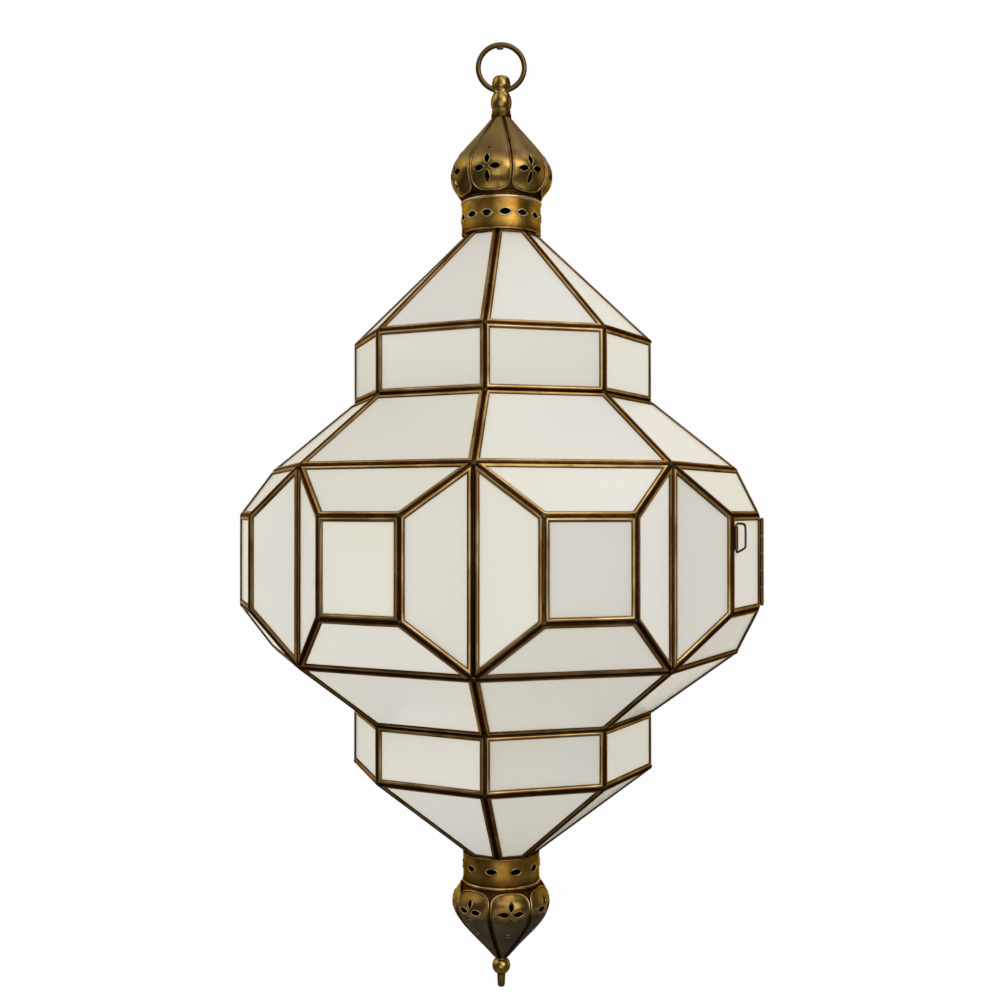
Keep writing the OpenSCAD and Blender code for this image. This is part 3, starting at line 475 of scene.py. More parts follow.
def turned_copies_tree():
    """Copies of a mesh round the Z axis, each with a random number of its own."""
    tree, given = geometry_tree("turned_copies", ("Count", "Int", 8), ("Start", "Float", 0.0),
                                ("Step", "Float", math.radians(TURN)), ("Unevenness", "Float", 0.0),
                                ("Noise Scale", "Float", 30.0), ("Seed", "Int", 1))
    index = tree.nodes.new("GeometryNodeInputIndex").outputs[0]
    turn = node(tree, "ShaderNodeMath", {0: index, 1: given["Step"], 2: given["Start"]},
                operation="MULTIPLY_ADD")
    euler = node(tree, "ShaderNodeCombineXYZ", {"Z": turn.outputs[0]})
    turn = node(tree, "FunctionNodeEulerToRotation", {0: euler.outputs[0]})
    points = node(tree, "GeometryNodePoints", {"Count": given["Count"]})
    copies = node(tree, "GeometryNodeInstanceOnPoints",
                  {"Points": points.outputs[0], "Instance": given["Geometry"], "Rotation": turn.outputs[0]})
    chance = node(tree, "FunctionNodeRandomValue", {"Seed": given["Seed"]}, data_type="FLOAT")
    marked = node(tree, "GeometryNodeStoreNamedAttribute",
                  {"Geometry": copies.outputs[0], "Value": chance.outputs[1]},
                  {"Name": "place"}, data_type="FLOAT", domain="INSTANCE")
    real = node(tree, "GeometryNodeRealizeInstances", {"Geometry": marked.outputs[0]})
    return handmade(tree, real.outputs[0], given)


def solder_drops_tree():
    """A flattened drop on each point, turned to the point's own direction."""
    tree, given = geometry_tree("solder_drops", ("Radius", "Float", 0.003), ("Unevenness", "Float", 0.001),
                                ("Noise Scale", "Float", 260.0), ("Seed", "Int", 4))
    ball = node(tree, "GeometryNodeMeshIcoSphere", {"Radius": given["Radius"]}, {"Subdivisions": 3})
    flat = node(tree, "GeometryNodeTransform", {"Geometry": ball.outputs[0]}, {"Scale": (1.0, 1.0, 0.40)})
    outward = node(tree, "GeometryNodeInputNamedAttribute", None, {"Name": "outward"},
                   data_type="FLOAT_VECTOR")
    align = node(tree, "FunctionNodeAlignRotationToVector", {"Vector": outward.outputs[0]}, axis="Z")
    size = node(tree, "FunctionNodeRandomValue", {"Seed": given["Seed"]}, {2: 0.82, 3: 1.12},
                data_type="FLOAT")
    drops = node(tree, "GeometryNodeInstanceOnPoints",
                 {"Points": given["Geometry"], "Instance": flat.outputs[0], "Rotation": align.outputs[0],
                  "Scale": size.outputs[1]})
    real = node(tree, "GeometryNodeRealizeInstances", {"Geometry": drops.outputs[0]})
    smooth = node(tree, "GeometryNodeSetShadeSmooth", {"Geometry": real.outputs[0]})
    return handmade(tree, smooth.outputs[0], given)


def run_tree(obj, tree, sharp=SHARP, **inputs):
    """Runs a tree on an object with inputs by name, and leaves a plain mesh."""
    modifier = obj.modifiers.new("made", "NODES")
    modifier.node_group = tree
    names = {i.name.replace(" ", "_").lower(): i.identifier
             for i in tree.interface.items_tree if i.in_out == "INPUT"}
    for key, value in inputs.items():
        modifier[names[key]] = value
    return plain(obj, sharp)


def group(name, build):
    return bpy.data.node_groups.get(name) or build()


def copies(obj, count, start, step, material, unevenness=0.0, noise_scale=30.0, seed=1, sharp=SHARP):
    """Copies of an object's mesh round the Z axis, with angles in degrees."""
    return run_tree(obj, group("turned_copies", turned_copies_tree), sharp, count=count,
                    start=math.radians(start), step=math.radians(step), unevenness=unevenness,
                    noise_scale=noise_scale, seed=seed, material=material)


# Sheet metal with cuts in it

def inside(points, loop):
    """Which points lie inside a closed outline."""
    x, y = points[:, 0][:, None], points[:, 1][:, None]
    a = np.asarray(loop)
    b = np.roll(a, -1, axis=0)
    crosses = (a[:, 1] > y) != (b[:, 1] > y)
    rise = np.where(b[:, 1] == a[:, 1], 1e-12, b[:, 1] - a[:, 1])
    at = a[:, 0] + (y - a[:, 1]) / rise * (b[:, 0] - a[:, 0])
    return (crosses & (x < at)).sum(axis=1) % 2 == 1


def nearest(points, loop):
    """Distance of each point from a closed outline's points."""
    loop = np.asarray(loop)
    return np.sqrt(((points[:, None, :] - loop[None, :, :]) ** 2).sum(axis=2)).min(axis=1)


def cut_sheet(outline, holes, spacing):
    """Flat sheet in millimetres with an outline and holes, as points and triangles."""
    loops = [np.asarray(outline, float)] + [np.asarray(h, float) for h in holes]
    points = []
    edges = []
    for loop in loops:
        start = len(points)
        points += [tuple(p) for p in loop]
        edges += [(start + i, start + (i + 1) % len(loop)) for i in range(len(loop))]
    low = loops[0].min(axis=0)
    high = loops[0].max(axis=0)
    grid = np.array([(x + (spacing / 2 if k % 2 else 0), y)
                     for k, y in enumerate(np.arange(low[1], high[1], spacing * 0.87))
                     for x in np.arange(low[0], high[0], spacing)])
    keep = inside(grid, loops[0])
    for hole in loops[1:]:
        keep &= ~inside(grid, hole)
    grid = grid[keep]
    for loop in loops:
        grid = grid[nearest(grid, loop) > spacing * 0.45]
    points += [tuple(p) for p in grid]
    made = delaunay_2d_cdt([Vector(p) for p in points], edges, [], 0, 1e-7)
    flat = np.array([tuple(p) for p in made[0]])
    triangles = np.array([f for f in made[2] if len(f) == 3])
    centres = flat[triangles].mean(axis=1)
    keep = inside(centres, loops[0])
    for hole in loops[1:]:
        keep &= ~inside(centres, hole)
    return flat, triangles[keep]


def thickened(flat, triangles, place, thickness, welded=lambda a, b: False):
    """Closed sheet over placed points: place takes flat points and a height above the sheet."""
    area = (flat[triangles[:, 1]] - flat[triangles[:, 0]])
    other = (flat[triangles[:, 2]] - flat[triangles[:, 0]])
    turn = area[:, 0] * other[:, 1] - area[:, 1] * other[:, 0]
    triangles = np.where(turn[:, None] > 0, triangles, triangles[:, ::-1])
    top = place(flat, 0.0)
    low = place(flat, -thickness)
    count = len(flat)
    rows = triangles.tolist()
    used = dict.fromkeys((t[i], t[(i + 1) % 3]) for t in rows for i in range(3))
    faces = [tuple(t) for t in rows]
    faces += [(t[0] + count, t[2] + count, t[1] + count) for t in rows]
    for a, b in used:
        if (b, a) not in used and not welded(flat[a], flat[b]):
            faces.append((b, a, a + count, b + count))
    return np.concatenate([top, low]), faces


def leaf(centre, angle, start, length_mm, width, points=13):
    """Pointed leaf in millimetres, from a start distance along an angle."""
    turn = math.radians(angle)
    along = np.array((math.cos(turn), math.sin(turn)))
    across = np.array((-along[1], along[0]))
    outline = []
    for side in (1, -1):
        for i in range(points - 1):
            t = i / (points - 1) if side > 0 else 1 - i / (points - 1)
            half = width / 2 * math.sin(math.pi * t) ** 0.75
            outline.append(np.asarray(centre) + along * (start + length_mm * t) + across * side * half)
    return outline


def tube(points, radii, sides=8, closed=False, lifted=None):
    """Round wire through points, with a radius at each of them, closed or with capped ends."""
    pts = [Vector(p) for p in points]
    n = len(pts)
    if np.isscalar(radii):
        radii = [radii] * n
    tangents = []
    for i in range(n):
        a = pts[(i - 1) % n] if closed or i > 0 else pts[i]
        b = pts[(i + 1) % n] if closed or i < n - 1 else pts[i]
        tangents.append((b - a).normalized())
    side = lifted[0] if lifted is not None else tangents[0].orthogonal()
    out = []
    for i in range(n):
        if lifted is not None:
            side = lifted[i]
        side = (side - tangents[i] * side.dot(tangents[i])).normalized()
        other = tangents[i].cross(side)
        for k in range(sides):
            a = 2 * math.pi * k / sides
            out.append(pts[i] + (side * math.cos(a) + other * math.sin(a)) * radii[i])
    faces = []
    runs = n if closed else n - 1
    for i in range(runs):
        for k in range(sides):
            a = i * sides + k
            b = i * sides + (k + 1) % sides
            c = (i + 1) % n * sides
            faces.append((a, b, c + (k + 1) % sides, c + k))
    if not closed:
        faces.append(tuple(range(sides - 1, -1, -1)))
        faces.append(tuple((n - 1) * sides + k for k in range(sides)))
    return out, faces


def lathe(profile, segments=96):
    """Solid of revolution round the Z axis from radius and height pairs, closed at both ends."""
    rows = [p for p in profile if p[0] > 1e-7]
    count = len(rows)
    points = [polar(r, 360 * k / segments, z) for k in range(segments) for r, z in rows]
    down = rows[0][1] > rows[-1][1]
    faces = []
    for k in range(segments):
        a = k * count
        b = (k + 1) % segments * count
        for i in range(count - 1):
            quad = (a + i, a + i + 1, b + i + 1, b + i)
            faces.append(quad if down else quad[::-1])
    for row, start in ((0, profile[0]), (count - 1, profile[-1])):
        centre = len(points)
        points.append(Vector((0, 0, start[1])))
        for k in range(segments):
            a = k * count + row
            b = (k + 1) % segments * count + row
            first = (row == 0) == down
            faces.append((centre, a, b) if first else (centre, b, a))
    return points, faces


def ring_lathe(profile, segments=120):
    """Ring of revolution round the Z axis from a closed outline of radius and height pairs."""
    count = len(profile)
    points = [polar(r, 360 * k / segments, z) for k in range(segments) for r, z in profile]
    area = sum(a[0] * b[1] - b[0] * a[1] for a, b in zip(profile, profile[1:] + profile[:1]))
    faces = []
    for k in range(segments):
        for i in range(count):
            quad = (k * count + i, k * count + (i + 1) % count,
                    (k + 1) % segments * count + (i + 1) % count, (k + 1) % segments * count + i)
            faces.append(quad[::-1] if area > 0 else quad)
    return points, faces


def smooth_line(points, steps):
    """Points on a smooth curve through the given ones."""
    pts = [np.asarray(p, float) for p in points]
    pts = [2 * pts[0] - pts[1]] + pts + [2 * pts[-1] - pts[-2]]
    out = []
    for i in range(1, len(pts) - 2):
        a, b, c, d = pts[i - 1:i + 3]
        for k in range(steps):
            t = k / steps
            out.append(0.5 * (2 * b + (c - a) * t + (2 * a - 5 * b + 4 * c - d) * t * t
                              + (3 * b - a - 3 * c + d) * t ** 3))
    out.append(pts[-2])
    return out


# Materials

def colour4(colour):
    return (*colour, 1.0)


def material(name):
    """A new material's tree, its shader and the object's own coordinates."""
    made = bpy.data.materials.new("lantern_" + name)
    made.use_nodes = True
    tree = made.node_tree
    return tree, tree.nodes["Principled BSDF"], tree.nodes.new("ShaderNodeTexCoord").outputs["Object"]


def noise(tree, where, scale, detail=3.0, roughness=0.55, distortion=0.0):
    values = {"Scale": scale, "Detail": detail, "Roughness": roughness, "Distortion": distortion}
    return node(tree, "ShaderNodeTexNoise", {"Vector": where}, values).outputs[0]


def spread(tree, value, low, high, to_low=0.0, to_high=1.0):
    return node(tree, "ShaderNodeMapRange", {"Value": value},
                {"From Min": low, "From Max": high, "To Min": to_low, "To Max": to_high},
                interpolation_type="SMOOTHSTEP").outputs[0]


def fed(tree, made, values):
    """A node with its inputs linked or set by number, whichever each value needs."""
    for index, value in values.items():
        if isinstance(value, bpy.types.NodeSocket):
            tree.links.new(value, made.inputs[index])
        else:
            made.inputs[index].default_value = value
    return made


def mixed(tree, factor, a, b):
    a, b = (c if isinstance(c, bpy.types.NodeSocket) else colour4(c) for c in (a, b))
    return fed(tree, node(tree, "ShaderNodeMix", data_type="RGBA"), {0: factor, 6: a, 7: b}).outputs[2]


def blended(tree, factor, a, b):
    return fed(tree, node(tree, "ShaderNodeMix"), {0: factor, 2: a, 3: b}).outputs[0]


def maths(tree, operation, a, b, clamp=False):
    made = node(tree, "ShaderNodeMath", operation=operation, use_clamp=clamp)
    return fed(tree, made, {0: a, 1: b}).outputs[0]


def facing(tree, where, way):
    """How far a direction agrees with another one, from -1 to 1."""
    made = node(tree, "ShaderNodeVectorMath", {0: where}, {1: tuple(way)}, operation="DOT_PRODUCT")
    return made.outputs["Value"]


def attribute(tree, name):
    return node(tree, "ShaderNodeAttribute", attribute_name=name).outputs["Fac"]


def bumped(tree, shader, height, distance, strength):
    bump = node(tree, "ShaderNodeBump", {"Height": height}, {"Distance": distance, "Strength": strength})
    tree.links.new(bump.outputs[0], shader.inputs["Normal"])


# Grain at or below this leaves the metal without a bump.
FINE_GRAIN = 0.1
BRASS_GLOSS = (0.50, 0.38, 0.24, 1.0)
RECESS_ROUGHNESS = 0.16
DUST_AND_SHADE_ROUGHNESS = 0.20
DUST_AND_SHADE_METAL = 0.10


def brass(name, base, worn, patch, rough, wear, mottle, grain, dust=None):
    """Old brass: rubbed bright in patches, dark brown where the mesh says so (patina in its recesses and
    painted shade under and between parts), with dust and painted shade where the mesh says so.
    """
    tree, shader, where = material(name)
    patina_and_shade = settings("colours").patina_and_shade
    large = noise(tree, where, patch, 1.0 + 3.0 * grain, 0.5, 0.4)
    small = noise(tree, where, patch * 7, 3.0)
    cloud = noise(tree, where, patch * 0.7 + 9, 1.0 + grain, 0.5, 0.8)
    body = mixed(tree, spread(tree, large, wear - 0.13, wear + 0.17), base, worn)
    stain = spread(tree, cloud, 0.48, 0.72, 0.0, mottle)
    # Patina and painted shade from the mesh, with stains
    dark = maths(tree, "MAXIMUM", attribute(tree, "recess"), stain)
    uneven = spread(tree, small, 0.3, 0.7, 1 - 0.18 * grain, 1 + 0.12 * grain)
    uneven = maths(tree, "MULTIPLY", dark, uneven, True)
    body = mixed(tree, uneven, body, patina_and_shade)
    shine = maths(tree, "ADD", spread(tree, small, 0.3, 0.75, rough - 0.05 * grain, rough + 0.07 * grain),
                  maths(tree, "MULTIPLY", uneven, RECESS_ROUGHNESS))
    shader.inputs["Metallic"].default_value = 1.0
    # Dust and painted shade: duller, darker and less metallic where the mesh says so
    if dust:
        dust_and_shade_share = attribute(tree, "dust")
        body = mixed(tree, dust_and_shade_share, body, dust)
        shine = maths(tree, "ADD", shine, maths(tree, "MULTIPLY", dust_and_shade_share, DUST_AND_SHADE_ROUGHNESS))
        tree.links.new(spread(tree, dust_and_shade_share, 0.0, 1.0, 1.0, DUST_AND_SHADE_METAL), shader.inputs["Metallic"])
    tree.links.new(body, shader.inputs["Base Color"])
    tree.links.new(shine, shader.inputs["Roughness"])
    shader.inputs["Specular Tint"].default_value = BRASS_GLOSS
    if grain > FINE_GRAIN:
        bumped(tree, shader, maths(tree, "ADD", small, large), 0.0003, 0.06 * grain)


# Light that each face of a pane lets into the lantern, where the eye sees only a milky surface.
LIGHT_THROUGH = (0.66, 0.63, 0.56, 1.0)
GLASS_IOR = 1.5


def milky_glass(name):
    """Opal glass: a little warmer or cooler from pane to pane, with slow clouds in each pane."""
    c = settings("colours")
    tree, shader, where = material(name)
    place = attribute(tree, "place")
    chance = node(tree, "ShaderNodeTexWhiteNoise", {"W": place}, noise_dimensions="1D")
    apart = node(tree, "ShaderNodeSeparateColor", {"Color": chance.outputs["Color"]})
    cloud = noise(tree, where, 8.0, 2.0, 0.4)
    warm = maths(tree, "MULTIPLY", spread(tree, apart.outputs[0], 0.3, 1.0),
                 spread(tree, cloud, 0.32, 0.68, 0.2, 0.8))
    cool = maths(tree, "MULTIPLY", spread(tree, apart.outputs[1], 0.4, 1.0),
                 spread(tree, cloud, 0.68, 0.32, 0.1, 0.9))
    body = mixed(tree, cool, mixed(tree, warm, c.glass, c.glass_warm), c.glass_cool)
    rim = spread(tree, attribute(tree, "rim"), 0.014, 0.003, 0.0, 0.35)
    tree.links.new(mixed(tree, rim, body, c.glass_warm), shader.inputs["Base Color"])
    tree.links.new(spread(tree, cloud, 0.2, 0.8, 0.20, 0.27), shader.inputs["Roughness"])
    shader.inputs["IOR"].default_value = GLASS_IOR
    bumped(tree, shader, noise(tree, where, 22.0, 1.0), 0.001, 0.10)
    rays = tree.nodes.new("ShaderNodeLightPath").outputs
    clear = node(tree, "ShaderNodeBsdfTransparent", None, {"Color": LIGHT_THROUGH})
    both = node(tree, "ShaderNodeMixShader", {0: rays["Is Shadow Ray"]})
    tree.links.new(shader.outputs[0], both.inputs[1])
    tree.links.new(clear.outputs[0], both.inputs[2])
    tree.links.new(both.outputs[0], tree.nodes["Material Output"].inputs["Surface"])


def plain_coat(name, colour, darker, rough, scale, depth):
    """Moulded or fired surface with a fine grain and a slightly uneven colour."""
    tree, shader, where = material(name)
    grain = noise(tree, where, scale, 3.0)
    tree.links.new(mixed(tree, spread(tree, grain, 0.35, 0.7), colour, darker), shader.inputs["Base Color"])
    tree.links.new(spread(tree, grain, 0.3, 0.7, rough - 0.06, rough + 0.08), shader.inputs["Roughness"])
    bumped(tree, shader, grain, 0.0002, depth)


# Brasses: colour, worn colour, how fine the patches are, roughness, wear, stains, grain and any dust and
# painted shade.
BRASSES = {
    "strip_brass": ("strip", "strip_worn", 30.0, 0.29, 0.50, 0.26, 0.25, None),
    "dome_brass": ("dome", "dome_worn", 22.0, 0.23, 0.50, 0.30, 0.6, "dust_high"),
    "low_dome_brass": ("dome", "dome_worn", 22.0, 0.25, 0.50, 0.30, 0.6, "dust_low"),
    "cream_brass": ("collar_worn", "cream", 60.0, 0.34, 0.36, 0.15, 0.6, None),
    "lip_brass": ("collar", "lip", 60.0, 0.30, 0.42, 0.25, 0.6, None),
    "collar_brass": ("collar", "collar_worn", 31.0, 0.31, 0.46, 0.55, 0.8, None),
    "turned_brass": ("turned", "turned_worn", 17.0, 0.24, 0.50, 0.06, 0.05, None),
    "bright_brass": ("collar", "collar_worn", 60.0, 0.26, 0.45, 0.20, 1.0, None),
    "bronze_wire": ("wire", "turned", 17.0, 0.28, 0.50, 0.04, 0.05, None),
    "old_solder": ("solder", "wire", 120.0, 0.42, 0.55, 0.60, 1.0, None),
}
# Coats: colour, darker colour, roughness, how fine the grain is and how deep.
COATS = {
    "black_phenolic": ((0.018, 0.016, 0.015), (0.03, 0.026, 0.024), 0.28, 300.0, 0.12),
    "ceramic": ((0.80, 0.78, 0.73), (0.72, 0.70, 0.65), 0.42, 300.0, 0.12),
    "black_rubber": ((0.022, 0.022, 0.022), (0.035, 0.034, 0.033), 0.62, 600.0, 0.3),
}


def finishes():
    """Every finish of the lantern by name, made once."""
    names = (*BRASSES, "milky_glass", *COATS)
    if "lantern_milky_glass" not in bpy.data.materials:
        c = settings("colours")
        for name, (base, worn, *look, dust) in BRASSES.items():
            brass(name, getattr(c, base), getattr(c, worn), *look, dust and getattr(c, dust))
        milky_glass("milky_glass")
        for name, look in COATS.items():
            plain_coat(name, *look)
    return {name: bpy.data.materials["lantern_" + name] for name in names}


def finished(name, points, faces, values, finish):
    """A mesh object that needs no copies, in its finish."""
    obj = mesh_object(name, points, faces, values)
    obj.data.materials.append(finishes()[finish])
    return obj


def coat(node_name, finish):
    """Gives a carried-over node its finish."""
    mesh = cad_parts[node_name].data
    mesh.materials.clear()
    mesh.materials.append(finishes()[finish])


# Domes

class DomeShape:
    """A dome's outline of two smooth curves that meet where it is widest, and the place of a point on it."""

    def __init__(self, neck_r, z_neck, wide_r, z_wide, base_r, z_base):
        self.gores = settings("dome").gores
        self.crown = settings("dome").crown / MM
        self.wide = wide_r
        self.up = -1 if z_neck > z_base else 1
        down = z_wide - z_neck
        under = z_base - z_wide
        first = [(neck_r, z_neck), (neck_r + 0.66 * (wide_r - neck_r), z_neck + 0.55 * down),
                 (wide_r, z_wide - 0.27 * down), (wide_r, z_wide)]
        second = [(wide_r, z_wide), (wide_r, z_wide + 0.49 * under),
                  (base_r + 0.49 * (wide_r - base_r), z_wide + 0.74 * under), (base_r, z_base)]
        rows = []
        for handles in (first, second):
            t = np.linspace(0, 1, 60)[:, None]
            a, b, c, d = (np.array(h, float) for h in handles)
            rows.append((1 - t) ** 3 * a + 3 * t * (1 - t) ** 2 * b + 3 * t * t * (1 - t) * c + t ** 3 * d)
        rows = np.concatenate([rows[0], rows[1][1:]])
        self.r = rows[:, 0]
        self.z = rows[:, 1]
        step = np.hypot(np.diff(self.r), np.diff(self.z))
        self.v = np.concatenate([[0], np.cumsum(step)])
        dr = np.gradient(self.r, self.v)
        dz = np.gradient(self.z, self.v)
        self.nr = np.abs(dz)
        self.nz = dr * (1 if self.up < 0 else -1)
        self.end = self.v[-1]

    def at(self, z):
        order = np.argsort(self.z)
        return float(np.interp(z, self.z[order], self.v[order]))

    def radius(self, v):
        return np.interp(v, self.v, self.r)

    def half(self, v):
        return self.radius(v) * math.pi / self.gores

    def place(self, flat, lift):
        """Points in metres from flat points in millimetres: across the gore, and down from the neck."""
        flat = np.asarray(flat, float).reshape(-1, 2)
        r = self.radius(flat[:, 1])
        a = flat[:, 0] / r
        share = np.clip(np.abs(a) / (math.pi / self.gores), 0, 1.2)
        sunk = self.crown * r / self.wide * (0.4 * share ** 2 + 0.6 * share ** 4)
        nr = np.interp(flat[:, 1], self.v, self.nr)
        nz = np.interp(flat[:, 1], self.v, self.nz)
        rr = r + (lift / MM - sunk) * nr
        zz = np.interp(flat[:, 1], self.v, self.z) + (lift / MM - sunk) * nz
        return np.stack([rr * np.sin(a), -rr * np.cos(a), zz], axis=1) * MM

    def outward(self, flat):
        return [Vector(p) for p in self.place(flat, 1 * MM) - self.place(flat, 0.0)]


def gore_outline(shape, seam, corner, low, spacing=1.7):
    """Outline of a gore in millimetres, from the neck down one side, round the wide end and up the other."""
    side = []
    v = 0.0
    while v < low - corner:
        side.append((shape.half(v) - seam, v))
        v += spacing
    centre = low - corner
    half = shape.half(low) - seam
    steps = 9
    for i in range(steps + 1):
        a = math.pi / 2 * i / steps
        v = centre + corner * math.sin(a)
        wide = shape.half(v) - seam
        side.append((min(wide, wide - corner * (1 - math.cos(a))), v))
    across = np.linspace(side[-1][0], -side[-1][0], max(4, round(2 * half / spacing)))[1:-1]
    sag = [(x, low + 0.9 * (1 - (x / side[-1][0]) ** 2)) for x in across]
    return side + sag + [(-x, v) for x, v in reversed(side)]


def dust_and_shade_amount(points, edge, most):
    """How much dust and painted shade flat points of a gore get: most towards the neck, less past an uneven
    edge.
    """
    x, v = points[:, 0], points[:, 1]
    uneven = 1.7 * np.sin(0.19 * x + 0.9) + 0.9 * np.sin(0.57 * x + 0.3)
    return most * (1 - np.clip((v - edge + uneven) / 11, 0, 1))


# Spacing of points in sheet metal, sides of the wires, and half width and depths of the seam strip
SHEET_SPACING = 1.5
LIP_SIDES = 8
RIM_SIDES = 6
SEAM_HALF = 2.4
SEAM_TOP = -1.0
SEAM_UNDER = -1.6


def gores_of(name, shape, outline, cuts, dust_and_shade_from, dust):
    """One gore with its cut leaves, with painted shade along its edges, round its cuts and on its inner
    face, and dust and painted shade towards the neck.
    """
    flat, triangles = cut_sheet(outline, cuts, SHEET_SPACING)
    points, faces = thickened(flat, triangles, shape.place, settings("dome").sheet)
    edge = nearest(flat, outline)
    cut = np.min([nearest(flat, c) for c in cuts], axis=0)
    # Painted shade beside the lips and round the cuts, and all dark on the inner face
    shade = np.maximum(0.85 * np.clip(1.9 - edge, 0, 1), 0.45 * np.clip(1.3 - cut, 0, 1))
    gore = mesh_object(name + "_gores", points, faces, np.concatenate([shade, np.ones(len(flat))]))
    dust_and_shade_share = np.concatenate([dust_and_shade_amount(flat, dust_and_shade_from, dust), np.zeros(len(flat))])
    gore.data.attributes.new("dust", "FLOAT", "POINT").data.foreach_set("value", dust_and_shade_share)
    return gore


def lips_of(name, shape, outline, cuts, low, dust_and_shade_from, dust):
    """The rolled lip round a gore, and the burrs round its cuts."""
    d = settings("dome")
    lip = np.array(outline)
    inner = np.sign(lip[:, 0]) * np.maximum(np.abs(lip[:, 0]) - 0.45, 0.1)
    path = np.stack([inner, np.minimum(lip[:, 1], low + 0.6)], axis=1)
    size = np.clip(shape.radius(path[:, 1]) / 40, 0.45, 1.0)
    lift = shape.place(path, 0.25 * MM)
    lips, lip_faces = tube(lift, list(size * d.lip), LIP_SIDES, False, shape.outward(path))
    # Painted shade: the lips darker where the dome is narrow, with dust and painted shade towards the neck
    lip_dust_and_shade = np.clip(1.45 - shape.radius(path[:, 1]) / 30, 0.0, 0.8)
    lip_dust_and_shade = np.maximum(lip_dust_and_shade, dust_and_shade_amount(path, dust_and_shade_from, dust))
    parts = [(lips, lip_faces, np.repeat(lip_dust_and_shade, LIP_SIDES))]
    for loop in cuts:
        loop = np.asarray(loop)
        rim, rim_faces = tube(shape.place(loop, 0.12 * MM), d.rim, RIM_SIDES, True, shape.outward(loop))
        parts.append((rim, rim_faces, [0.0] * len(rim)))
    return mesh_object(name + "_lips", *joined(parts))


def seam_of(name, shape):
    """The strip under the gap between two gores, all dark as painted shade in the gap."""
    rows = np.linspace(0.5, shape.end - 0.5, 44)
    strip = []
    for v in rows:
        half = shape.half(v)
        for x, lift in ((-SEAM_HALF, SEAM_TOP), (SEAM_HALF, SEAM_TOP), (SEAM_HALF, SEAM_UNDER),
                        (-SEAM_HALF, SEAM_UNDER)):
            edge_x = half + x * min(1, shape.radius(v) / 20)
            mirrored = edge_x if edge_x <= half else 2 * half - edge_x
            spot = shape.place([(mirrored, v)], lift * MM)[0]
            turn = (edge_x - mirrored) / shape.radius(v)
            c, s = math.cos(turn), math.sin(turn)
            strip.append((spot[0] * c - spot[1] * s, spot[0] * s + spot[1] * c, spot[2]))
    faces = [(i * 4 + k, (i + 1) * 4 + k, (i + 1) * 4 + (k + 1) % 4, i * 4 + (k + 1) % 4)
             for i in range(len(rows) - 1) for k in range(4)]
    faces += [(0, 1, 2, 3), tuple(len(strip) - 4 + k for k in (3, 2, 1, 0))]
    if shape.up > 0:
        faces = [f[::-1] for f in faces]
    return mesh_object(name + "_seam", strip, faces, [1.0] * len(strip))


def dome_pieces(name, shape, cuts, azimuth, bare, dark_z, dust, finish):
    """Gores with cut leaves, their rolled lips, burrs and seams, each kind copied round the dome."""
    d = settings("dome")
    m = finishes()
    low = shape.end - bare / MM
    outline = gore_outline(shape, d.seam / MM, d.corner / MM, low)
    dust_and_shade_from = shape.at(dark_z)
    step = 360 / shape.gores
    gore = gores_of(name, shape, outline, cuts, dust_and_shade_from, dust)
    gore = copies(gore, shape.gores, azimuth, step, m[finish], 0.35 * MM, 45.0, 3)
    rims = lips_of(name, shape, outline, cuts, low, dust_and_shade_from, dust)
    rims = copies(rims, shape.gores, azimuth, step, m["lip_brass"], 0.2 * MM, 60.0, 5, WIRE_SHARP)
    seam = copies(seam_of(name, shape), shape.gores, azimuth, step, m["dome_brass"], 0.0, 30.0, 1)
    return gore, rims, seam


# The turned-under base in millimetres
UNDER_HEIGHT = 14
UNDER_INSET = 1.7
UNDER_WALL = 0.8
BEAD_LAP = 0.9


def turned_under(shape, bead_r, z_bead):
    """Turned-under base of a dome, down to its bead, painted all dark as shade under the gores."""
    v = np.linspace(shape.end - UNDER_HEIGHT, shape.end, 10)
    outer = [(r - UNDER_INSET, z) for r, z in zip(shape.radius(v), np.interp(v, shape.v, shape.z))]
    outer.append((bead_r + BEAD_LAP, z_bead))
    inner = [(r - UNDER_WALL, z) for r, z in reversed(outer)]
    return ring_lathe([(r * MM, z * MM) for r, z in outer + inner])


# Sizes of the domes in millimetres
BEAD_THICK = 3.2
BASE_LAP = 0.8
TOUCH = 0.05
KNOB_LAP = 7
TOP_NECK, TOP_WIDE, TOP_WIDE_DROP = 9, 48.3, 56
LOW_NECK, LOW_WIDE, LOW_WIDE_DROP, LOW_NECK_DROP = 6, 46.1, 18.6, 53.2
# The centre of a rosette and its eye, across the gore and from the dome's base
TOP_ROSETTE, TOP_EYE = (-2.3, 19.6), (-1.6, 39.0)
LOW_ROSETTE, LOW_EYE = (0, -19.4), (-1.0, -42.0)
# Where the dust and painted shade begin, from the dome's base, and how strong they are: dust and painted
# shade on the top dome, painted shade alone on the bottom one
TOP_DUST_AND_SHADE = (34, 0.66)
LOW_PAINTED_SHADE = (-25, 0.93)


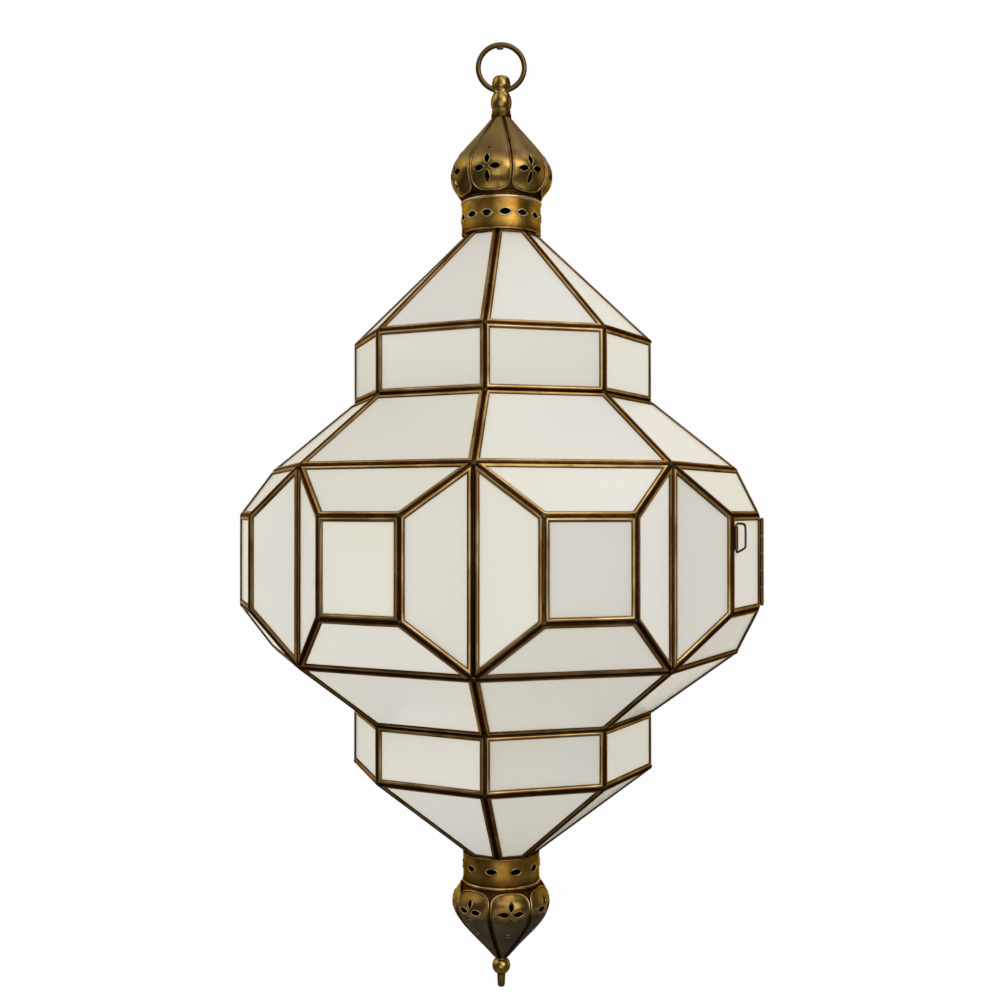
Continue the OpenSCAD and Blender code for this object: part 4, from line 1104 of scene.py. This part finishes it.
class LANTERN_OT_domes(bpy.types.Operator):
    """Makes both domes of lipped and pierced gores"""
    bl_idname = "lantern.domes"
    bl_label = "Domes"

    def execute(self, context):
        d = settings("dome")
        bead_r, z_bead, base = self.bead("top_bead", 1)
        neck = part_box("finial_knob")[0].z / MM + KNOB_LAP - TOUCH
        shape = DomeShape(TOP_NECK, neck, TOP_WIDE, neck - TOP_WIDE_DROP, bead_r + BASE_LAP, base)
        centre, eye = ((x, shape.at(base + up)) for x, up in (TOP_ROSETTE, TOP_EYE))
        cuts = [leaf(centre, 269, 2.3, 11.4, 5.6), leaf(centre, -4, 1.9, 11.4, 6.2),
                leaf(centre, 176, 2.3, 10.9, 6.0), leaf(centre, 91, 1.7, 13.9, 5.2),
                leaf(eye, 97, -2.6, 5.4, 2.5, 9)]
        self.dome("top_dome", shape, bead_r, z_bead, cuts, d.top_azimuth, d.top_bare, base + TOP_DUST_AND_SHADE[0],
                  TOP_DUST_AND_SHADE[1], "dome_brass")

        bead_r, z_bead, base = self.bead("bottom_bead", 0)
        wide = base - LOW_WIDE_DROP
        shape = DomeShape(LOW_NECK, wide - LOW_NECK_DROP, LOW_WIDE, wide, bead_r + BASE_LAP, base)
        centre, eye = ((x, shape.at(base + up)) for x, up in (LOW_ROSETTE, LOW_EYE))
        cuts = [leaf(centre, 90, 2.2, 9.6, 5.2), leaf(centre, 3, 1.5, 11.2, 5.6),
                leaf(centre, 177, 1.5, 11.2, 5.6), leaf(centre, 270, 2.6, 6.0, 1.8, 9),
                leaf(eye, 0, -2.8, 5.6, 4.2, 9)]
        self.dome("bottom_dome", shape, bead_r, z_bead, cuts, d.bottom_azimuth, d.bottom_bare,
                  base + LOW_PAINTED_SHADE[0], LOW_PAINTED_SHADE[1], "low_dome_brass")
        return {"FINISHED"}

    def bead(self, name, side):
        """Middle radius and height of a bead, and the height of the dome's base on one side of it."""
        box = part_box(name)
        return (box[1].x / MM - BEAD_THICK / 2, (box[0].z + box[1].z) / 2 / MM,
                box[side].z / MM + (TOUCH if side else -TOUCH))

    def dome(self, name, shape, bead_r, z_bead, *look):
        gore, rims, seam = dome_pieces(name, shape, *look)
        points, faces = turned_under(shape, bead_r, z_bead)
        # The skirt is all painted shade
        skirt = finished("skirt", points, faces, [1.0] * len(points), "dome_brass")
        gore = joined_object(name + "_gores_dressed", [gore, skirt])
        rims = joined_object(name + "_lips", [rims, seam])
        placed(gore, "lantern", "dark_brass", name + "_gores")
        placed(rims, "lantern", "collar_brass", name + "_seams")


# Collars

def hand_cut(rng, x, y, length_mm, height):
    """An eye that was cut by hand, so that no two are quite alike."""
    angle = rng.uniform(-5, 5)
    long = length_mm * rng.uniform(0.92, 1.06)
    tall = height * rng.uniform(0.9, 1.08)
    return leaf((x + rng.uniform(-0.4, 0.4), y + rng.uniform(-0.35, 0.35)), angle, -long / 2, long, tall, 15)


# Radius and lift of the cable's hole, and spacing of points along a collar's edges, in millimetres
CABLE_HOLE = 4.65
CABLE_LIFT = 0.4
EDGE_SPACING = 1.8
EYE_SIDES = 7


def collar_piece(name, radius, low, high, places, middle_z, start, edge_finish, hole_azimuth=None):
    """A pierced collar with burrs round its eyes, from millimetres, cut open opposite its first place."""
    c = settings("collar")
    m = finishes()
    rng = np.random.default_rng(places)
    round_of = 2 * math.pi * radius
    step = round_of / places
    eyes = [(k - places / 2 + 0.5) * step for k in range(places)]
    turn = start - (0.5 - places / 2) * 360 / places
    holes = []
    if hole_azimuth is not None:
        x = math.radians((hole_azimuth - turn + 180) % 360 - 180) * radius
        eyes.remove(min(eyes, key=lambda e: abs(e - x)))
        holes.append([(x + CABLE_HOLE * math.cos(a), middle_z + CABLE_LIFT + CABLE_HOLE * math.sin(a))
                      for a in np.linspace(0, 2 * math.pi, 33)[:-1]])
    cuts = [hand_cut(rng, x, middle_z, c.eye_length / MM, c.eye_height / MM) for x in eyes]
    holes += cuts

    def place(flat, lift):
        flat = np.asarray(flat, float).reshape(-1, 2)
        a = flat[:, 0] / radius + math.radians(turn)
        r = (radius + lift / MM) * MM
        return np.stack([r * np.sin(a), -r * np.cos(a), flat[:, 1] * MM], axis=1)

    half = round_of / 2
    rows = max(6, round((high - low) / EDGE_SPACING))
    columns = round(round_of / EDGE_SPACING)
    outline = [(-half, y) for y in np.linspace(high, low, rows + 1)]
    outline += [(x, low) for x in np.linspace(-half, half, columns + 1)[1:]]
    outline += [(half, y) for y in np.linspace(low, high, rows + 1)[1:]]
    outline += [(x, high) for x in np.linspace(half, -half, columns + 1)[1:-1]]
    flat, triangles = cut_sheet(outline, holes, SHEET_SPACING)
    # Painted shade: dark under the bead, darker towards the foot, a little dark round the holes, and all
    # dark on the inner face
    shade = 0.8 * np.clip(1 - (high - flat[:, 1]) / 3.6, 0, 1)
    shade = np.maximum(shade, 0.95 * np.clip(1 - (flat[:, 1] - low) / 9.0, 0, 1))
    for hole in holes:
        shade = np.maximum(shade, 0.55 * np.clip(1.2 - nearest(flat, hole), 0, 1))
    points, faces = thickened(flat, triangles, place, c.wall,
                              lambda a, b: abs(a[0]) > half - 1e-6 and abs(a[0] - b[0]) < 1e-6)
    body = mesh_object(name, points, faces, np.concatenate([shade, np.ones(len(flat))]))
    work = bmesh.new()
    work.from_mesh(body.data)
    bmesh.ops.remove_doubles(work, verts=work.verts, dist=1e-6)
    work.to_mesh(body.data)
    work.free()
    body = copies(body, 1, 0, 0, m["collar_brass"], 0.7 * MM, 42.0, 2)

    parts = []
    for eye in cuts:
        line = place(eye, 0.15 * MM)
        outward = [Vector((p[0], p[1], 0)).normalized() for p in line]
        rim, rim_faces = tube(line, c.rim, EYE_SIDES, True, outward)
        parts.append((rim, rim_faces, [0.0] * len(rim)))
    rims = mesh_object(name + "_rims", *joined(parts))
    return body, copies(rims, 1, 0, 0, m[edge_finish], 0.6 * MM, 60.0, 6, WIRE_SHARP)


def rolled_rim(name, radius, z, size, shade=0.0, finish="lip_brass"):
    """A round ring of metal, from millimetres, with an even amount of painted shade."""
    circle = [((radius + size * math.cos(a)) * MM, (z + size * math.sin(a)) * MM)
              for a in np.linspace(0, 2 * math.pi, 13)[:-1]]
    points, faces = ring_lathe(circle)
    obj = mesh_object(name, points, faces, [shade] * len(points))
    return copies(obj, 1, 0, 0, finishes()[finish], 0.3 * MM, 40.0, 1, WIRE_SHARP)


# Millimetres: the collars' rolled rims, where their eyes' middles lie, and the rims round the bead
FOOT_INSET = 0.2
FOOT_SIZE = 0.55
TOP_FOOT, LOW_FOOT = 1.3, -0.5
TOP_RAISED = 1.0
TOP_MIDDLE, LOW_MIDDLE = -0.4, 1.2
BEAD_SIZE = 1.5
BEAD_LINE = (-1.4, -2.0)
BEAD_BAND = (-2.1, 0.6)


class LANTERN_OT_collars(bpy.types.Operator):
    """Makes both pierced collars and their beads"""
    bl_idname = "lantern.collars"
    bl_label = "Collars"

    def execute(self, context):
        c = settings("collar")
        radius, low, high = self.sizes("top_collar")
        # A little painted shade on the top collar's foot
        foot = rolled_rim("foot", radius - FOOT_INSET, low + TOP_FOOT, FOOT_SIZE, 0.1)
        self.collar("top_collar", foot, radius, low + TOP_RAISED, high, c.top_places,
                    (low + high) / 2 + TOP_MIDDLE, c.top_azimuth, "cream_brass", c.cable_azimuth)
        radius, low, high = self.sizes("bottom_collar")
        # Half painted shade on the bottom collar's foot, under the dome
        foot = rolled_rim("foot", radius - FOOT_INSET, high + LOW_FOOT, FOOT_SIZE, 0.5)
        self.collar("bottom_collar", foot, radius, low, high, c.bottom_eyes,
                    (low + high) / 2 + LOW_MIDDLE, c.bottom_azimuth, "lip_brass")
        radius, low, high = self.sizes("top_bead")
        line, band = ((radius + out, low + up) for out, up in (BEAD_LINE, BEAD_BAND))
        line = rolled_rim("top_bead_turned", *line, BEAD_SIZE, finish="cream_brass")
        # The band tucked in under the bead is all painted shade
        band = rolled_rim("band", *band, BEAD_SIZE, 1.0)
        placed(joined_object("top_bead_turned", [line, band]), "lantern", "collar_brass", "top_bead")
        coat("bottom_bead", "lip_brass")
        return {"FINISHED"}

    def sizes(self, name):
        low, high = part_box(name)
        return high.x / MM, low.z / MM, high.z / MM

    def collar(self, name, foot, *look):
        body, rims = collar_piece(name + "_dressed", *look)
        placed(joined_object(name + "_dressed", [body, rims, foot]), "lantern", "collar_brass", name)


# Glass and strips

STRIP_NOISE = 34.0
PANE_NOISE = 12.0
PANE_WAVE = 0.25 * MM


def strips_of(title, faces, names, seed, count=SIDES, start=0, gap=None, share=1.0):
    """The brass strips round one or more faces, copied round the lantern."""
    s = settings("strip")
    parts = [strip_mesh(faces[n], neighbours(faces, n), gap or s.gap) for n in names]
    return copies(mesh_object(title, *joined(parts)), count, start, TURN, finishes()["strip_brass"],
                  s.wobble * share, STRIP_NOISE, seed)


def panes_of(title, faces, name, seed, count=SIDES, start=0, gap=None, wave=PANE_WAVE):
    """The glass of one face, copied round the lantern."""
    pane = pane_mesh(faces[name], neighbours(faces, name), gap or settings("strip").gap)
    return copies(mesh_object(title, *pane, attribute="rim"), count, start, TURN, finishes()["milky_glass"],
                  wave, PANE_NOISE, seed)


class LANTERN_OT_strips(bpy.types.Operator):
    """Makes the brass strips round every pane and the solder drops at the corners"""
    bl_idname = "lantern.strips"
    bl_label = "Brass strips"

    def execute(self, context):
        faces = body_faces()
        for i, name in enumerate(TIERS):
            strips = strips_of(name + "_strips", faces, [name], i)
            placed(strips, "lantern", "antique_brass", name + "_cames")
        leaning = strips_of("belt_strips", faces, LEANING, 8)
        square = strips_of("square", faces, ["square"], 9, SIDES - 1, TURN)
        belt = joined_object("belt_strips", [leaning, square])
        placed(belt, "lantern", "antique_brass", *["belt_cames_%d" % k for k in range(1, SIDES + 1)])
        self.drops(faces)
        return {"FINISHED"}

    def drops(self, faces):
        s = settings("strip")
        every = []
        for k in range(SIDES):
            every += [turned(f, k * TURN) for f in faces.values()]
        square = faces["square"]
        ends = (faces["upper_cone"][2].z, faces["lower_cone"][0].z)
        found = {}
        for face in every:
            for p in face:
                key = tuple(round(c / (0.5 * MM)) for c in p)
                found.setdefault(key, [p, Vector()])
                found[key][1] += normal(face)
        spots = [(p, n.normalized()) for p, n in found.values()
                 if min((p - q).length for q in square) > MM and min(abs(p.z - z) for z in ends) > MM]
        mesh = bpy.data.meshes.new("solder_drops")
        mesh.from_pydata([tuple(p - n * 0.85 * MM) for p, n in spots], [], [])
        outward = mesh.attributes.new("outward", "FLOAT_VECTOR", "POINT")
        outward.data.foreach_set("vector", [c for p, n in spots for c in n])
        obj = bpy.data.objects.new("solder_drops", mesh)
        bpy.context.scene.collection.objects.link(obj)
        drops = run_tree(obj, group("solder_drops", solder_drops_tree), radius=s.drop, unevenness=1.1 * MM,
                         noise_scale=240.0, seed=4, material=finishes()["old_solder"])
        bars = self.bars(faces)
        placed(joined_object("solder_drops", [drops, bars]), "lantern", "antique_brass")

    def bars(self, faces):
        """Solder that fills the inner corners between the strips, all dark as patina and painted shade in
        the corner.
        """
        s = settings("strip")
        right, next_left = faces["belt_right"], turned(faces["belt_left"], TURN)
        upper, lower = faces["upper_shoulder"], faces["lower_shoulder"]
        corners = ((right[1], right[2], right, next_left), (upper[2], upper[3], upper, faces["upper_band"]),
                   (lower[0], lower[1], lower, faces["lower_band"]))
        parts = []
        for a, b, one, other in corners:
            inward = (normal(one) + normal(other)).normalized() * s.bar_depth
            for k in range(SIDES):
                bar, bar_faces = tube(turned([a - inward, b - inward], k * TURN), s.bar, 8)
                parts.append((bar, bar_faces, [1.0] * len(bar)))
        return finished("bars", *joined(parts), "strip_brass")


class LANTERN_OT_panes(bpy.types.Operator):
    """Makes the milky glass panes of the body"""
    bl_idname = "lantern.panes"
    bl_label = "Glass panes"

    def execute(self, context):
        faces = body_faces()
        for i, name in enumerate(TIERS):
            placed(panes_of(name + "_panes", faces, name, 20 + i), "lantern", "opal_glass", name + "_glass")
        parts = [panes_of(name, faces, name, 30 + i) for i, name in enumerate(LEANING)]
        parts.append(panes_of("square", faces, "square", 40, SIDES - 1, TURN))
        belt = joined_object("belt_panes", parts)
        placed(belt, "lantern", "opal_glass", *["belt_glass_%d" % k for k in range(1, SIDES + 1)])
        return {"FINISHED"}


# The pull's wire from the side in millimetres: outwards, and up from the end of its tube.
PULL_OUTLINE = ((0, -7), (0, -4), (0, -2.2), (0.25, -1.0), (1.0, -0.25), (2.2, 0), (5, 0), (8, -0.1),
                (10.2, -0.5), (11.6, -1.6), (12.3, -3.4), (12.5, -5.5), (12.5, -10), (12.5, -15),
                (12.5, -18.6), (12.1, -20.0), (10.8, -21.0), (7, -22.4), (3.4, -23.5), (1.4, -23.9),
                (0.4, -23.5), (0.05, -22.4), (0, -20.5), (0, -17))
PULL_WIRE = 0.98 * MM
PULL_REST = math.radians(20)


class LANTERN_OT_door(bpy.types.Operator):
    """Makes the door's strip and pane and its wire pull, and gives the hinge and the pull's tube their
    finish
    """
    bl_idname = "lantern.door"
    bl_label = "Door"

    def execute(self, context):
        gap = settings("strip").door_gap
        faces = body_faces()
        strip = strips_of("door_strip", faces, ["square"], 2, 1, 0, gap, 0.6)
        placed(strip, "door", "antique_brass", "door_cames")
        pane = panes_of("door_pane", faces, "square", 3, 1, 0, gap, 0.2 * MM)
        placed(pane, "door", "opal_glass", "door_glass")
        for name in ("hinge_knuckles_fixed", "hinge_knuckles_door", "hinge_pin", "pull_tube"):
            coat(name, "bronze_wire")
        self.pull()
        return {"FINISHED"}

    def pull(self):
        low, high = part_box("pull_tube")
        axis = (low + high) / 2
        top = high.z + 2 * MM
        cos, sin = math.cos(PULL_REST), math.sin(PULL_REST)
        points = [Vector((axis.x + x * MM * cos, axis.y - x * MM * sin, top + z * MM))
                  for x, z in smooth_line(PULL_OUTLINE, 4)]
        wire, wire_faces = tube(points, PULL_WIRE, 12)
        pull = plain(finished("door_pull_wire", wire, wire_faces, [0.0] * len(wire), "bronze_wire"))
        placed(pull, "pull", "dark_brass", "door_pull")


# Hanger, finial and the inside

# Radius of the ring's wire in millimetres, and the way that its flat side faces
RING_WIRE = 2.5
RING_AZIMUTH = -62
RING_POINTS = 96
KNOB_SIDES = 112
HOLE_HALF = 12
# The knob's outline in millimetres: radius, and height from the middle of its hole
KNOB_OUTLINE = ((0.01, 13.6), (3.6, 13.5), (5.9, 13.0), (7.6, 11.5), (8.5, 9.0), (8.9, 6.0), (8.85, 3.4),
                (8.4, 1.7), (7.7, 0.5), (7.5, -1.2), (7.75, -3.0), (8.6, -4.9), (9.5, -7.4), (10.0, -10.6),
                (10.0, -13.3), (9.5, -15.8), (8.9, -17.4), (8.45, -18.2), (8.45, -18.9), (9.0, -19.6),
                (9.05, -20.6), (8.6, -21.4), (9.2, -22.4), (9.6, -23.8), (9.65, -25.6), (9.4, -27.0),
                (0.01, -27.0))


class LANTERN_OT_hanger(bpy.types.Operator):
    """Makes the hanging ring and the turned knob that it swings in"""
    bl_idname = "lantern.hanger"
    bl_label = "Hanger"

    def execute(self, context):
        m = finishes()
        low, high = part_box("hanging_ring")
        mean = (high.z - low.z) / 2 / MM - RING_WIRE
        z_ring = (high.z + low.z) / 2 / MM
        across = polar(1, RING_AZIMUTH + 90, 0)
        flat_side = polar(1, RING_AZIMUTH, 0)
        angles = [2 * math.pi * k / RING_POINTS for k in range(RING_POINTS)]
        points = [(across * math.sin(a) * mean + Vector((0, 0, z_ring + mean * math.cos(a)))) * MM
                  for a in angles]
        ring, ring_faces = tube(points, RING_WIRE * MM, 20, True, [flat_side] * RING_POINTS)
        nub = self.nub(across, flat_side, z_ring + mean - RING_WIRE)
        points, faces, values = joined([(ring, ring_faces, [0.0] * len(ring)), nub])
        ring = mesh_object("hanging_ring_wire", points, faces, values)
        ring = copies(ring, 1, 0, 0, m["bronze_wire"], 0.0, 30.0, 1)
        placed(ring, "hanger", "antique_brass", "hanging_ring")

        z_hole = z_ring - mean
        line = smooth_line(KNOB_OUTLINE[:-1], 4) + [np.array(KNOB_OUTLINE[-1])]
        points, faces = lathe([(r * MM, (z_hole + z) * MM) for r, z in line], KNOB_SIDES)
        # Painted shade: darker in the groove and towards the foot, and dark at the middle of the base
        groove_shade = [min(1.0, max(0.0, 1 - abs(z + 19.2) / 1.1) + max(0.0, min(0.85, (-21.2 - z) / 1.5)))
                   for r, z in line]
        shade = groove_shade * KNOB_SIDES + [0.0, 1.0]
        knob = mesh_object("knob_turned", points, faces, shade)
        self.cross_hole(knob, z_hole, mean)
        knob = plain(knob)
        knob.data.materials.clear()
        knob.data.materials.append(m["turned_brass"])
        placed(knob, "lantern", "antique_brass", "finial_knob")
        return {"FINISHED"}

    def nub(self, across, flat_side, z_inner):
        """The small lump where the ring's ends were joined."""
        work = bmesh.new()
        bmesh.ops.create_icosphere(work, subdivisions=3, radius=1.0)
        points = []
        for vertex in work.verts:
            c = vertex.co
            x = math.copysign(abs(c.x) ** 0.6, c.x) * 3.4 - 1.2
            y = math.copysign(abs(c.y) ** 0.7, c.y) * 1.7
            z = math.copysign(abs(c.z) ** 0.6, c.z) * 1.7
            points.append((across * x + flat_side * y + Vector((0, 0, z_inner - 0.4 + z))) * MM)
        faces = [tuple(v.index for v in f.verts) for f in work.faces]
        work.free()
        return points, faces, [0.35] * len(points)

    def cross_hole(self, knob, z_hole, mean):
        """Cuts the hole that the ring turns in, flared as the ring's own curve is."""
        inner = mean - RING_WIRE
        along = np.linspace(-HOLE_HALF, HOLE_HALF, 25)
        profile = [((mean - math.sqrt(inner ** 2 - x * x) + 0.1) * MM, x * MM) for x in along]
        points, faces = lathe([(1e-5, profile[0][1])] + profile + [(1e-5, profile[-1][1])], 48)
        cutter = mesh_object("cutter", points, faces)
        turn = Matrix.Rotation(math.radians(RING_AZIMUTH), 4, "Z")
        turn = turn @ Matrix.Rotation(math.radians(90), 4, "Y")
        cutter.data.transform(Matrix.Translation((0, 0, z_hole * MM)) @ turn)
        cut = knob.modifiers.new("cut", "BOOLEAN")
        cut.operation = "DIFFERENCE"
        cut.solver = "EXACT"
        cut.object = cutter
        bpy.context.view_layer.update()
        depsgraph = bpy.context.evaluated_depsgraph_get()
        mesh = bpy.data.meshes.new_from_object(knob.evaluated_get(depsgraph))
        knob.modifiers.clear()
        knob.data = mesh
        bpy.data.objects.remove(cutter)


FINIAL_BALL = 8.6
FINIAL_SIDES = 80
# Radius of the finial's pin, and how far below the ball's middle.
FINIAL_PIN = ((3.95, 8.0), (3.9, 9.2), (3.75, 12.5), (3.6, 16.5), (3.35, 18.9), (2.7, 20.0))


class LANTERN_OT_finial(bpy.types.Operator):
    """Makes the ball and pin under the bottom dome"""
    bl_idname = "lantern.finial"
    bl_label = "Finial"

    def execute(self, context):
        low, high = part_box("bottom_finial")
        top = high.z / MM
        centre = top - FINIAL_BALL * 0.95
        line = [(0.01, top), (5.0, top)]
        line += [(FINIAL_BALL * math.cos(a), centre + FINIAL_BALL * math.sin(a))
                 for a in np.radians(np.linspace(52, -62, 24))]
        line += [(r, centre - down) for r, down in FINIAL_PIN] + [(1.6, low.z / MM), (0.01, low.z / MM)]
        points, faces = lathe([(r * MM, z * MM) for r, z in line], FINIAL_SIDES)
        # Painted shade: darker in the neck under the ball and towards its top, under the dome
        dark = [min(1.0, max(0.0, 1 - abs(z - centre + 8.4) / 1.4) + max(0.0, (z - centre - 5) / 3))
                for r, z in line]
        finial = mesh_object("finial_turned", points, faces, dark * FINIAL_SIDES + [0.0, 0.0])
        finial = copies(finial, 1, 0, 0, finishes()["dome_brass"], 0.15 * MM, 60.0, 1, math.radians(50))
        placed(finial, "lantern", "antique_brass", "bottom_finial")
        return {"FINISHED"}


INSIDE = {
    "stem_tube": "turned_brass",
    "stem_nuts": "bright_brass",
    "top_plate": "strip_brass",
    "bottom_plate": "strip_brass",
    "cable_grommet": "black_rubber",
    "earth_screw": "bright_brass",
    "holder_cap": "black_phenolic",
    "holder_body": "black_phenolic",
    "holder_insulator": "ceramic",
    "holder_contact": "bright_brass",
    "holder_shell": "bright_brass",
    "bottom_tie_rod": "bright_brass",
    "bottom_nut": "bright_brass",
}


class LANTERN_OT_inside(bpy.types.Operator):
    """Gives the stem, plates, lamp holder and cable inlet their finishes"""
    bl_idname = "lantern.inside"
    bl_label = "Inside"

    def execute(self, context):
        for name, finish in INSIDE.items():
            coat(name, finish)
        return {"FINISHED"}


# Floor, lights and camera

BACKDROP = 0.983
ROOM_SEEN = 0.09
CEILING_SEEN = 0.45
ROOM_LOW = 0.42
ROOM_HIGH = 0.61
FLOOR = -1.9
FLOOR_RADIUS = 3.2
FLOOR_SEEN = 0.08
FLOOR_GLOW = 1.03
FLOOR_SHARE = 0.93
WHITE = (1.0, 1.0, 1.0)
WARM = (1.0, 0.945, 0.79)
AWAY = Vector((-0.8811, -0.4730, 0))
RIGHT = Vector((0.4730, -0.8811, 0))
CENTRE = Vector((0, 0, -0.45))
BEHIND = (0.881, 0.473, 0.0)
LEFT_HIGH = (-0.331, 0.617, 0.714)
# Soft glows of the room in gloss: to the right, towards the camera, up, edge in degrees and strength.
GLOWS = ((0.05, 1.0, -0.12, 34, 0.90), (1.15, 1.75, 0.90, 23, 2.7), (0.1, 1.35, 1.45, 26, 1.3),
         (-1.48, 0.35, 1.25, 24, 1.1), (0.74, 0.07, 1.45, 24, 1.5), (-0.80, -0.40, 0.40, 40, 0.56),
         (0.85, -0.45, 0.12, 32, 0.40), (-0.10, 0.80, -0.60, 20, 0.8))
# Lamps: name, to the right, towards the camera, up, width, height, power and any colour.
LAMPS = (("key", 1.15, 1.75, 0.90, 0.45, 0.8, 7.5), ("front_high", 0.1, 1.35, 1.45, 1.1, 0.5, 4.6),
         ("left_high", -1.48, 0.35, 1.25, 0.36, 0.36, 2.2), ("top_right", 0.74, 0.07, 1.45, 0.45, 0.5, 2.2),
         ("fill", -1.2, 1.8, 0.0, 0.6, 1.0, 5.5), ("right", 2.2, -0.5, 0.50, 1.2, 1.3, 24),
         ("left", -2.2, -0.9, -0.1, 1.0, 1.2, 0.8, (1.0, 0.93, 0.72)),
         ("low_left", -1.2, 0.8, -1.25, 0.7, 0.7, 9))
# The camera's distance, its shift to the left, its height, its tilt and its lens.
CAMERA_AWAY = 1.2405
CAMERA_LEFT = 0.0012
CAMERA_HEIGHT = -0.4412
CAMERA_TILT = 0.007
CAMERA_LENS = 46.84


def seen_rays(tree):
    """The light path's outputs, and whether the eye looks straight or through glass."""
    rays = tree.nodes.new("ShaderNodeLightPath").outputs
    return rays, maths(tree, "MAXIMUM", rays["Is Camera Ray"], rays["Is Transmission Ray"])


def backdrop_world():
    """White behind the lantern, and a soft grey room in front of it for light and reflections."""
    world = bpy.data.worlds.new("studio")
    bpy.context.scene.world = world
    world.use_nodes = True
    tree = world.node_tree
    background = tree.nodes["Background"]
    where = tree.nodes.new("ShaderNodeTexCoord").outputs["Generated"]
    behind = facing(tree, where, BEHIND)
    mirrored = spread(tree, behind, 0.65, 0.98, ROOM_SEEN, BACKDROP)
    above = node(tree, "ShaderNodeSeparateXYZ", {0: where})
    ceiling = spread(tree, above.outputs["Z"], 0.75, 0.99, 0.0, CEILING_SEEN)
    mirrored = maths(tree, "MAXIMUM", mirrored, ceiling)
    for right, toward, up, edge, strength in GLOWS:
        way = (RIGHT * right + AWAY * toward + Vector((0, 0, up))).normalized()
        glow = spread(tree, facing(tree, where, way), math.cos(math.radians(edge)), 1.0, 0.0, strength)
        mirrored = maths(tree, "ADD", mirrored, glow)
    ambient = spread(tree, facing(tree, where, LEFT_HIGH), -0.95, 0.95, ROOM_LOW, ROOM_HIGH)
    rays, seen = seen_rays(tree)
    room = blended(tree, rays["Is Glossy Ray"], ambient, mirrored)
    tree.links.new(blended(tree, seen, room, BACKDROP), background.inputs["Strength"])
    warm = mixed(tree, spread(tree, behind, -0.6, 0.7), WHITE, WARM)
    tree.links.new(mixed(tree, seen, warm, WHITE), background.inputs["Color"])


def softbox(name, right, toward, up, wide, tall, power, colour=WHITE):
    """Lamp aimed at the lantern, placed from it to the right, towards the camera and up, unseen in gloss."""
    light = bpy.data.lights.new(name, "AREA")
    light.shape = "RECTANGLE"
    light.size = wide
    light.size_y = tall
    light.energy = power
    light.color = colour
    obj = bpy.data.objects.new(name, light)
    bpy.context.scene.collection.objects.link(obj)
    obj.visible_glossy = False
    obj.location = CENTRE + RIGHT * right + AWAY * toward + Vector((0, 0, up))
    obj.rotation_euler = (CENTRE - obj.location).to_track_quat("-Z", "Y").to_euler()


def pale_floor():
    """A round floor far below the lantern, that glows as the backdrop does."""
    work = bmesh.new()
    bmesh.ops.create_circle(work, cap_ends=True, segments=64, radius=FLOOR_RADIUS)
    mesh = bpy.data.meshes.new("floor")
    work.to_mesh(mesh)
    work.free()
    mesh.transform(Matrix.Translation((0, 0, FLOOR)))
    floor = bpy.data.objects.new("floor", mesh)
    bpy.context.scene.collection.objects.link(floor)
    tree, shader, where = material("pale_floor")
    grain = noise(tree, where, 3.0)
    tree.links.new(mixed(tree, grain, (0.86, 0.86, 0.86), (0.90, 0.90, 0.90)), shader.inputs["Base Color"])
    shader.inputs["Roughness"].default_value = 0.9
    glow = node(tree, "ShaderNodeEmission", None, {"Strength": 1.0})
    rays, seen = seen_rays(tree)
    tree.links.new(blended(tree, rays["Is Glossy Ray"], FLOOR_GLOW, FLOOR_SEEN), glow.inputs["Strength"])
    share = maths(tree, "MULTIPLY", maths(tree, "MAXIMUM", seen, rays["Is Glossy Ray"]), FLOOR_SHARE)
    blend = node(tree, "ShaderNodeMixShader", {0: share, 1: shader.outputs[0], 2: glow.outputs[0]})
    tree.links.new(blend.outputs[0], tree.nodes["Material Output"].inputs[0])
    mesh.materials.append(bpy.data.materials["lantern_pale_floor"])
    return floor


class LANTERN_OT_stage(bpy.types.Operator):
    """Makes the floor, the lights and the camera"""
    bl_idname = "lantern.stage"
    bl_label = "Stage"

    def execute(self, context):
        backdrop_world()
        pale_floor()
        for lamp in LAMPS:
            softbox(*lamp)
        scene = context.scene
        data = bpy.data.cameras.new("camera")
        camera = bpy.data.objects.new("camera", data)
        scene.collection.objects.link(camera)
        scene.camera = camera
        data.sensor_width = 36
        data.lens = CAMERA_LENS
        data.clip_start = 0.05
        data.clip_end = 60
        camera.location = AWAY * CAMERA_AWAY - RIGHT * CAMERA_LEFT + Vector((0, 0, CAMERA_HEIGHT))
        look = -AWAY + Vector((0, 0, math.tan(CAMERA_TILT)))
        camera.rotation_euler = look.to_track_quat("-Z", "Y").to_euler()
        scene.view_settings.view_transform = "Standard"
        return {"FINISHED"}


OPERATORS = (LANTERN_OT_hanger, LANTERN_OT_domes, LANTERN_OT_collars, LANTERN_OT_panes, LANTERN_OT_strips,
             LANTERN_OT_door, LANTERN_OT_finial, LANTERN_OT_inside, LANTERN_OT_stage)


class LANTERN_PT_panel(bpy.types.Panel):
    """Lists the lantern's pieces and sizes"""
    bl_label = "Lantern"
    bl_idname = "LANTERN_PT_panel"
    bl_space_type = "VIEW_3D"
    bl_region_type = "UI"
    bl_category = "Lantern"

    def draw(self, context):
        for operator in OPERATORS:
            self.layout.operator(operator.bl_idname)
        for name in GROUPS:
            group_settings = getattr(context.scene, name)
            box = self.layout.box()
            for key in group_settings.__annotations__:
                box.prop(group_settings, key)


def register():
    for cls in (*GROUPS.values(), *OPERATORS, LANTERN_PT_panel):
        bpy.utils.register_class(cls)
    for name, cls in GROUPS.items():
        setattr(bpy.types.Scene, name, PointerProperty(type=cls))


def unregister():
    for name in GROUPS:
        delattr(bpy.types.Scene, name)
    for cls in reversed((*GROUPS.values(), *OPERATORS, LANTERN_PT_panel)):
        bpy.utils.unregister_class(cls)


def main():
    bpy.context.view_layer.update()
    register()
    for operator in OPERATORS:
        kind, name = operator.bl_idname.split(".")
        getattr(getattr(bpy.ops, kind), name)()


if __name__ == "__main__":
    main()
